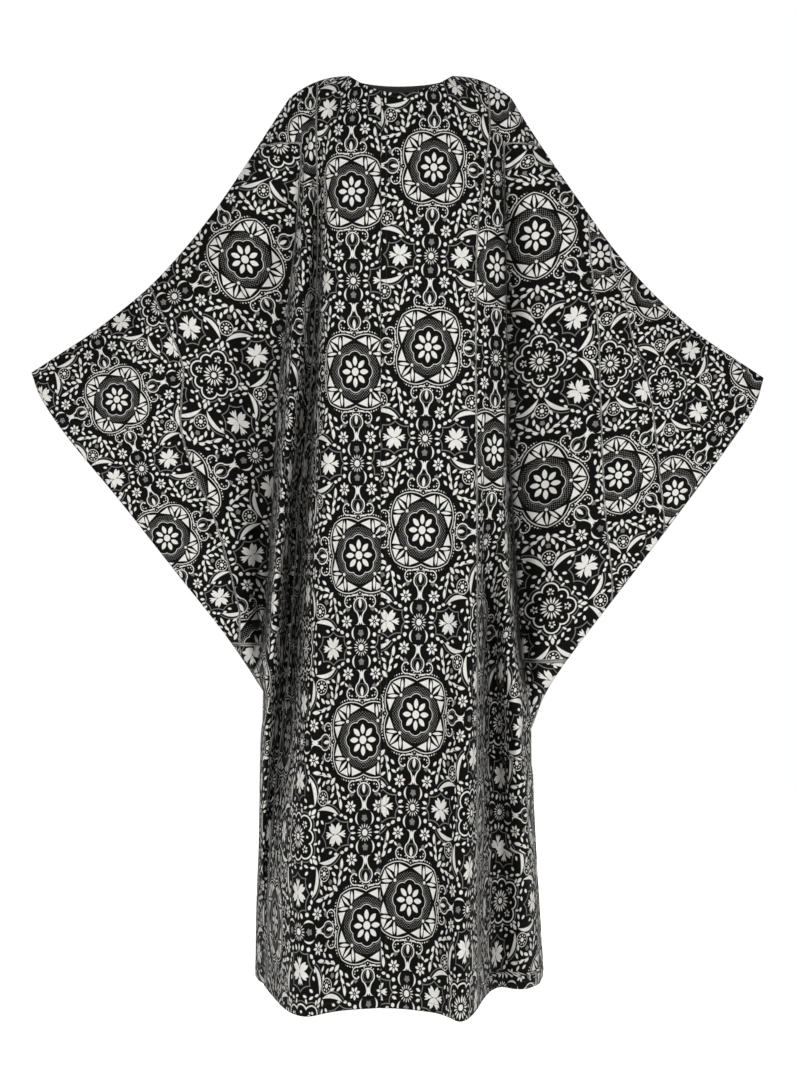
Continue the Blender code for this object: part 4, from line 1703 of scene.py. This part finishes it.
@dataclass
class Trim:
    """A narrow sewn thing made of several strips or stitches, joined in one mesh."""

    name: str
    material: bpy.types.Material
    slot: str
    points: list[np.ndarray] = field(default_factory=list)
    faces: list[tuple[int, ...]] = field(default_factory=list)
    places: list[np.ndarray] = field(default_factory=list)

    def add_faces(self, points: np.ndarray, faces: Sequence[tuple[int, ...]]) -> None:
        """Add points with their faces.

        Args:
            points: The points.
            faces: Faces among them.
        """
        start = sum(len(block) for block in self.points)
        self.points.append(points)
        self.places.append(points[:, [0, 2]])
        self.faces += [tuple(start + k for k in face) for face in faces]

    def add_strip(self, lines: np.ndarray) -> None:
        """Add a strip given as (line, place, xyz).

        Args:
            lines: Its points.
        """
        self.add_faces(lines.reshape(-1, 3), grid_faces(*lines.shape[:2]))

    def build(self, thickness: float) -> bpy.types.Object:
        """Make the mesh.

        Args:
            thickness: Of its cloth, 0 for closed shapes.

        Returns:
            The object.
        """
        mesh = bpy.data.meshes.new(self.name)
        mesh.from_pydata(np.concatenate(self.points).tolist(), [], self.faces)
        corner = np.empty(len(mesh.loops), dtype=int)
        mesh.loops.foreach_get("vertex_index", corner)
        flat = np.concatenate(self.places)
        # Hems, seams and stitches take an even painted shade: their colour times 0.9.
        for name, places in (("flat_cloth", flat), ("fold_shade", np.full_like(flat, 0.9))):
            layer = mesh.uv_layers.new(name=name)
            layer.data.foreach_set("uv", places[corner].ravel())
        mesh.polygons.foreach_set("use_smooth", np.full(len(mesh.polygons), thickness > 0))
        mesh.materials.append(self.material)
        piece = bpy.data.objects.new(self.name, mesh)
        bpy.context.scene.collection.objects.link(piece)
        if thickness > 0:
            wall = piece.modifiers.new("wall", "SOLIDIFY")
            wall.thickness = thickness
            wall.offset = 0.0
            wall.use_even_offset = False
        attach(piece, "root")
        LOG.info("%s: %d faces", self.name, len(self.faces))
        return piece


@dataclass
class Dress:
    """The whole garment, from its form, folds and print."""

    form: GarmentForm = field(default_factory=GarmentForm)
    half_steps: tuple[int, ...] = (12, 10, 12, 12, 12, 12, 22, 18)
    back_steps: tuple[int, ...] = (8, 8, 10, 10, 10, 10, 20, 16)
    row_steps: tuple[int, ...] = (4, 7, 6, 6)
    lap_columns: int = 13
    facing_rows: int = 3
    hem_lines: int = 3
    # Darkest shares of the painted fold shade: above the skirt, then in the skirt.
    upper_shade_floor: float = 0.42
    skirt_shade_floor: float = 0.66
    steep_slack: float = 1.9
    wing_start: float = 0.26
    wing_top: float = -0.112
    # Top of the skirt, below which the painted fold shade is lighter.
    skirt_top: float = -0.85
    # Fold depth where the painted shade starts, and the depth over which it deepens.
    lit_depth: float = 0.004
    dim_depth: float = 0.032
    # Reach and heights of the shadow painted along the wing roots.
    root_reach: float = 0.007
    root_top: float = -0.13
    root_bottom: float = -1.00
    seam_turn_height: float = -0.2
    seam_depth: float = 0.0004
    seam_allowance: float = 0.010
    seam_cloth: float = 0.0005

    def levels(self) -> np.ndarray:
        """Levels down the garment, closer than the rows of its sections."""
        levels = [0.0]
        row = 0
        for rows, steps in zip(self.form.rows, self.row_steps):
            for _ in range(rows):
                levels.extend(row + (k + 1) / steps for k in range(steps))
                row += 1
        return np.array(levels)

    def places(self, steps: Sequence[int]) -> np.ndarray:
        """Places across a half, with the given steps between its lines.

        Args:
            steps: Number of steps between one line and the next.

        Returns:
            The places.
        """
        places = [0.0]
        for line, count in enumerate(steps):
            places.extend(line + (k + 1) / count for k in range(count))
        return np.array(places)

    def front_points(self, side: Side) -> np.ndarray:
        """Points of a front, from the wearer's right to left, lap included.

        Args:
            side: The wearer's side.

        Returns:
            Points as (row, column, 3).
        """
        places = self.places(self.half_steps)
        own = self.form.half_surface(
            side, Layer.FRONT, places[places > self.form.lap_end_place], self.levels()
        )
        xs = np.linspace(-self.form.lap, self.form.lap, self.lap_columns)
        lap = self.form.lap_surface(side, xs, self.levels())
        if side is Side.LEFT:
            return np.concatenate((lap, own), axis=1)
        return np.concatenate((own[:, ::-1], lap), axis=1)

    def back_points(self) -> np.ndarray:
        """Points of the back, from the wearer's right to left."""
        places = self.places(self.back_steps)
        right = self.form.half_surface(Side.RIGHT, Layer.BACK, places, self.levels())[:, ::-1]
        left = self.form.half_surface(Side.LEFT, Layer.BACK, places, self.levels())
        return np.concatenate((right, left[:, 1:]), axis=1)

    def creased(
        self, points: np.ndarray, layer: Layer, folds: Sequence[Crease]
    ) -> np.ndarray:
        """Press the soft folds into a piece.

        Args:
            points: Its points as (row, column, xyz).
            layer: Front or back.
            folds: The folds.

        Returns:
            The points with their folds.
        """
        relief = np.zeros(points.shape[:2])
        for fold in folds:
            relief += fold.relief(points[..., 0], points[..., 2])
        normal = outwards_of(points) * (1 if layer is Layer.FRONT else -1)
        inside = np.arange(points.shape[1]) / (points.shape[1] - 1)
        ends = smooth(inside / 0.05) * smooth((1 - inside) / 0.05)
        return points + normal * (relief * ends)[..., None]

    def flat_places(
        self, points: np.ndarray, column: int, placing: PrintPlacing
    ) -> np.ndarray:
        """Places of the body's print on the cloth, with a medallion where it should be.

        Args:
            points: The piece's points.
            column: The column in the middle of the garment.
            placing: Where the medallion is, and the turn of the cloth.

        Returns:
            Flat places as (row, column, 2).
        """
        u, v = length_along(points, column), points[..., 2]
        gap = np.hypot(points[..., 0] - placing.medallion_x, v - placing.medallion_z)
        at = np.unravel_index(int(gap.argmin()), gap.shape)
        turn = math.radians(placing.turn)
        c, s = math.cos(turn), math.sin(turn)
        u, v = u - u[at], v - v[at]
        return np.stack((c * u + s * v, c * v - s * u), axis=-1)

    def unrolled(self, points: np.ndarray, pleats: Pleats) -> np.ndarray:
        """Places across a front beyond its first pleat, with steep cloth laid flat.

        Args:
            points: The front's points.
            pleats: Its pleats.

        Returns:
            Places across as (row, column), equal to x where the cloth faces the front.
        """
        mirrored = pleats is PLEATS_OF_FRONT_RIGHT
        sign = -1.0 if mirrored else 1.0
        worn = points[:, ::-1] if mirrored else points
        x, z = worn[..., 0] * sign, worn[..., 2]
        steps = np.diff(worn[..., :2], axis=1)
        steep = np.linalg.norm(steps, axis=-1) - np.abs(steps[..., 0]) * self.steep_slack
        extra = np.cumsum(np.maximum(steep, 0), axis=1)
        extra = np.concatenate((np.zeros((len(x), 1)), extra), axis=1)
        rows = np.arange(len(x))
        first, root = (line.track("x", z) * sign for line in pleats.lines[:2])
        start = extra[rows, (x >= first).argmax(axis=1)][:, None]
        on_wing = extra[rows, (x >= self.wing_start).argmax(axis=1)][:, None]
        has_wing = (x.max(axis=1) > self.wing_start)[:, None]
        extra = extra - np.where((x > root) & has_wing, on_wing, start)
        flat = (x + extra) * sign
        return flat[:, ::-1] if mirrored else flat

    def maps(self, points: np.ndarray, layer: Layer, pleats: Pleats) -> dict[str, np.ndarray]:
        """Say where the pleats are on a piece, how deep its folds lie, and how much shade is painted
        into its colour.

        Args:
            points: The piece's points.
            layer: Front or back.
            pleats: The piece's pleats.

        Returns:
            Further UV maps by name.
        """
        x, z = points[..., 0], points[..., 2]
        sign = -1.0 if pleats is PLEATS_OF_FRONT_RIGHT else 1.0
        gaps = [(x - line.track("x", z)) * sign for line in pleats.lines]
        if gaps:
            gaps[1] = np.minimum(gaps[1], self.wing_top - z)
        across = self.unrolled(points, pleats) if gaps else x
        gaps += [np.full_like(x, -1.0)] * (4 - len(gaps))
        # Painted shade: the colour darkens with the depth of a fold, less so in the skirt.
        depth = depth_of_folds(points, layer)
        darkest = mix(self.upper_shade_floor, self.skirt_shade_floor, smooth((self.skirt_top - z) / 0.15))
        sunk = np.maximum(depth - self.lit_depth, 0) / self.dim_depth
        shade = mix(darkest, 1.0, 1 / (1 + sunk ** 1.5))
        # Painted shadow along the root line of the wing, as deep as the pleats' root_shade.
        root_shadow_mask = np.exp(-(gaps[1] / self.root_reach) ** 2)
        root_shadow_mask *= smooth((self.root_top - z) / 0.08) * smooth((z - self.root_bottom) / 0.10)
        shade *= 1 - root_shadow_mask * pleats.root_shade
        return {
            "inner_gaps": np.stack(gaps[:2], axis=-1),
            "outer_gaps": np.stack(gaps[2:4], axis=-1),
            "worn_places": np.stack((across, z), axis=-1),
            "fold_shade": np.stack((shade, depth), axis=-1),
        }

    def build(self) -> list[ClothPiece]:
        """Make every cloth piece.

        Returns:
            The pieces.
        """
        printed = PrintedCloth()
        reverse = ReverseCloth().material()
        plain = PlainCloth().material()
        pieces = []
        left = self.front_points(Side.LEFT)
        right = self.front_points(Side.RIGHT)
        back = self.back_points()
        plans = (
            ("front_left_cloth", "front_left", Layer.FRONT, left, self.lap_columns // 2,
             FOLDS_OF_FRONT_LEFT, PLEATS_OF_FRONT_LEFT, (0.78, 1.42)),
            ("front_right_cloth", "front_right", Layer.FRONT, right, -1 - self.lap_columns // 2,
             FOLDS_OF_FRONT_RIGHT, PLEATS_OF_FRONT_RIGHT, (0.78, 1.42)),
            ("back_cloth", "back", Layer.BACK, back, back.shape[1] // 2,
             FOLDS_OF_BACK, PLEATS_OF_BACK, (1.51, 1.42)),
        )
        for name, node, layer, points, column, folds, pleats, cut in plans:
            creased = self.creased(points, layer, folds)
            flat = self.flat_places(points, column, pleats.body)
            piece = ClothPiece(name, node, layer, creased, flat,
                               (printed.material(pleats), reverse),
                               extra_maps=self.maps(creased, layer, pleats))
            piece.build()
            trims = self.trims(piece, reverse, plain)
            if layer is Layer.BACK:
                trims += [self.seam(side, reverse) for side in Side]
            piece.declare(cut)
            pieces.append(piece)
        pieces.append(self.facing(back, pieces[-1].flat, (plain, plain)))
        return pieces

    def trims(
        self, piece: ClothPiece, cloth: bpy.types.Material, thread: bpy.types.Material
    ) -> list[bpy.types.Object]:
        """Make the turned hems of a piece and their stitches.

        Args:
            piece: The piece of cloth.
            cloth: Material of the turned cloth.
            thread: Material of the stitches.

        Returns:
            The hems and the stitches.
        """
        points = piece.points
        outwards = outwards_of(points) * (1 if piece.layer is Layer.FRONT else -1)
        rows = np.cumsum([count * step for count, step in zip(self.form.rows, self.row_steps)])
        cuff = slice(rows[1], rows[2] + 1)
        neck = sum(self.half_steps[:self.form.neck_line]) + self.lap_columns // 2
        deep = self.hem_lines
        cuts: list[tuple[slice, slice, bool]] = [(slice(-1, -1 - deep, -1), slice(None), False)]
        if piece.node != "front_right":
            cuts.append((cuff, slice(-1, -1 - deep, -1), True))
        if piece.node != "front_left":
            cuts.append((cuff, slice(0, deep), True))
        if piece.node == "front_left":
            cuts += [(slice(None), slice(0, deep), True), (slice(0, deep), slice(0, neck), False)]
        if piece.node == "front_right":
            cuts += [(slice(None), slice(-1, -1 - deep, -1), True),
                     (slice(0, deep), slice(-neck, None), False)]
        hems = Trim(piece.node + "_turned_hems", cloth, "printed_cloth")
        sewing = Trim(piece.node + "_stitches", thread, "plain_cloth")
        for down, across, upright in cuts:
            lines, normals = points[down, across], outwards[down, across]
            if upright:
                lines, normals = lines.swapaxes(0, 1), normals.swapaxes(0, 1)
            hem = TurnedHem(lines, normals)
            hems.add_strip(hem.strip())
            sewing.add_faces(*hem.stitches())
        return [hems.build(piece.thickness), sewing.build(0.0)]

    def seam(self, side: Side, cloth: bpy.types.Material) -> bpy.types.Object:
        """Make the seams of a side: shoulder and overarm in one, and the side seam.

        Args:
            side: The wearer's side.
            cloth: Material of the seam's cloth.

        Returns:
            The seams.
        """
        places = self.places(self.half_steps)
        places = places[places >= self.form.neck_line]
        ends = np.cumsum((0, *self.form.rows))
        levels = self.levels()
        edges: dict[Layer, list[np.ndarray]] = {}
        for layer in Layer:
            top = self.form.half_surface(side, layer, places, np.array([0.0]))[0]
            edge = self.form.half_surface(side, layer, places[-3:], levels)
            over, below = levels <= ends[2], levels >= ends[3]
            edges[layer] = [np.concatenate((top[:-1], edge[over, -1])), edge[below, -1]]
        seam = Trim(side.name.lower() + "_seams", cloth, "printed_cloth")
        for front, back in zip(edges[Layer.FRONT], edges[Layer.BACK]):
            middle = (front + back) / 2
            inwards = np.array((-np.sign(middle[-1, 0]), 0.0, 0.0))
            if middle[0, 2] > self.seam_turn_height:
                inwards = inwards * 0.3 + np.array((0.0, 0.0, -1.0))
            inwards = inwards / np.linalg.norm(inwards)
            sunk = middle + inwards * self.seam_depth
            seam.add_strip(np.stack((front, sunk, back)))
            seam.add_strip(np.stack((sunk, middle + inwards * self.seam_allowance)))
        return seam.build(self.seam_cloth)

    def facing(
        self,
        back: np.ndarray,
        flat: np.ndarray,
        finish: tuple[bpy.types.Material, bpy.types.Material],
    ) -> ClothPiece:
        """Make the back neck facing, inside the back below the neckline.

        Args:
            back: Points of the back.
            flat: Flat places of the back.
            finish: The facing's materials.

        Returns:
            The facing.
        """
        middle = back.shape[1] // 2
        reach = sum(self.back_steps[:self.form.neck_line]) - 1
        rows = self.facing_rows * self.row_steps[0] + 1
        columns = slice(middle - reach, middle + reach + 1)
        points = back[:rows, columns]
        inwards = outwards_of(points)
        depth = (self.form.cloth + self.form.facing_cloth) / 2 + self.form.seam_gap
        piece = ClothPiece("back_neck_facing_cloth", "back_neck_facing", Layer.BACK,
                           points + inwards * depth, flat[:rows, columns], finish,
                           slot="plain_cloth",
                           extra_maps={"fold_shade": np.ones((rows, points.shape[1], 2))})
        piece.build()
        piece.declare((0.20, 0.06))
        return piece


@dataclass(frozen=True)
class Studio:
    """Pale floor, soft lights and the camera at the photo's viewing angle."""

    floor_height: float = -1.560
    camera_distance: float = 3.3
    camera_height: float = -0.713
    pixels_per_metre_at_one: float = 2115.0
    frame_height: int = 1067
    surroundings: float = 0.24
    floor_glow: float = 0.70

    def floor(self) -> None:
        """Lay a pale floor."""
        mesh = bpy.data.meshes.new("floor")
        size = 3.6
        corners = ((-size, -size), (size, -size), (size, size), (-size, size))
        mesh.from_pydata([(x, y, self.floor_height) for x, y in corners], [], [(0, 1, 2, 3)])
        floor = bpy.data.objects.new("floor", mesh)
        bpy.context.scene.collection.objects.link(floor)
        board = NodeBoard("floor_paint")
        where = board.node("ShaderNodeTexCoord")
        cloud = board.node("ShaderNodeTexNoise", None, {
            "Vector": Value(board, where.outputs["Object"]), "Scale": 3.0, "Detail": 2.0,
        })
        shade = Value(board, cloud.outputs[0])
        colour = board.blend(shade, (0.66, 0.66, 0.65, 1.0), (0.70, 0.70, 0.69, 1.0))
        shader = board.node("ShaderNodeBsdfPrincipled", None, {
            "Base Color": colour, "Roughness": 0.9,
            "Emission Color": (1.0, 1.0, 0.99, 1.0), "Emission Strength": self.floor_glow,
        })
        board.node("ShaderNodeOutputMaterial", None, {0: Value(board, shader.outputs[0])})
        mesh.materials.append(board.material)

    def light(
        self, name: str, place: tuple[float, float, float], size: float, power: float
    ) -> None:
        """Hang a soft square light that faces the garment.

        Args:
            name: Its name.
            place: Where it hangs.
            size: Length of a side.
            power: Its power in watts.
        """
        lamp = bpy.data.lights.new(name, "AREA")
        lamp.size = size
        lamp.energy = power
        item = bpy.data.objects.new(name, lamp)
        item.location = place
        aim = np.array((0.0, 0.0, -0.70)) - np.array(place)
        yaw = math.atan2(aim[1], aim[0]) - math.pi / 2
        pitch = math.pi / 2 + math.atan2(aim[2], math.hypot(aim[0], aim[1]))
        item.rotation_euler = (pitch, 0.0, yaw)
        bpy.context.scene.collection.objects.link(item)

    def build(self) -> None:
        """Set up floor, lights, surroundings and camera."""
        self.floor()
        self.light("key_light", (-0.7, -3.9, 1.0), 2.2, 66.0)
        self.light("fill_light", (1.5, -3.8, 0.2), 2.2, 36.0)
        self.light("back_light", (0.6, 4.0, 0.6), 2.6, 130.0)
        world = bpy.data.worlds.new("studio")
        world.use_nodes = True
        nodes = world.node_tree.nodes
        seen = nodes.new("ShaderNodeLightPath")
        level = nodes.new("ShaderNodeMath")
        level.operation = "MULTIPLY_ADD"
        level.inputs[1].default_value = 1.0 - self.surroundings
        level.inputs[2].default_value = self.surroundings
        world.node_tree.links.new(seen.outputs["Is Camera Ray"], level.inputs[0])
        nodes["Background"].inputs[0].default_value = (1.0, 1.0, 1.0, 1.0)
        world.node_tree.links.new(level.outputs[0], nodes["Background"].inputs[1])
        scene = bpy.context.scene
        scene.world = world
        scene.view_settings.view_transform = "Standard"
        camera = bpy.data.cameras.new("camera")
        camera.sensor_fit = "VERTICAL"
        camera.sensor_height = 36.0
        camera.lens = self.pixels_per_metre_at_one * 36.0 / self.frame_height
        item = bpy.data.objects.new("camera", camera)
        item.location = (0.0, -self.camera_distance, self.camera_height)
        item.rotation_euler = (math.pi / 2, 0.0, 0.0)
        scene.collection.objects.link(item)
        scene.camera = item


def main() -> None:
    """Load the frame and dress the garment."""
    logging.basicConfig(level=logging.INFO, format="%(name)s: %(message)s")
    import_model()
    Studio().build()
    Dress().build()
    bpy.context.view_layer.update()


if __name__ == "__main__":
    main()
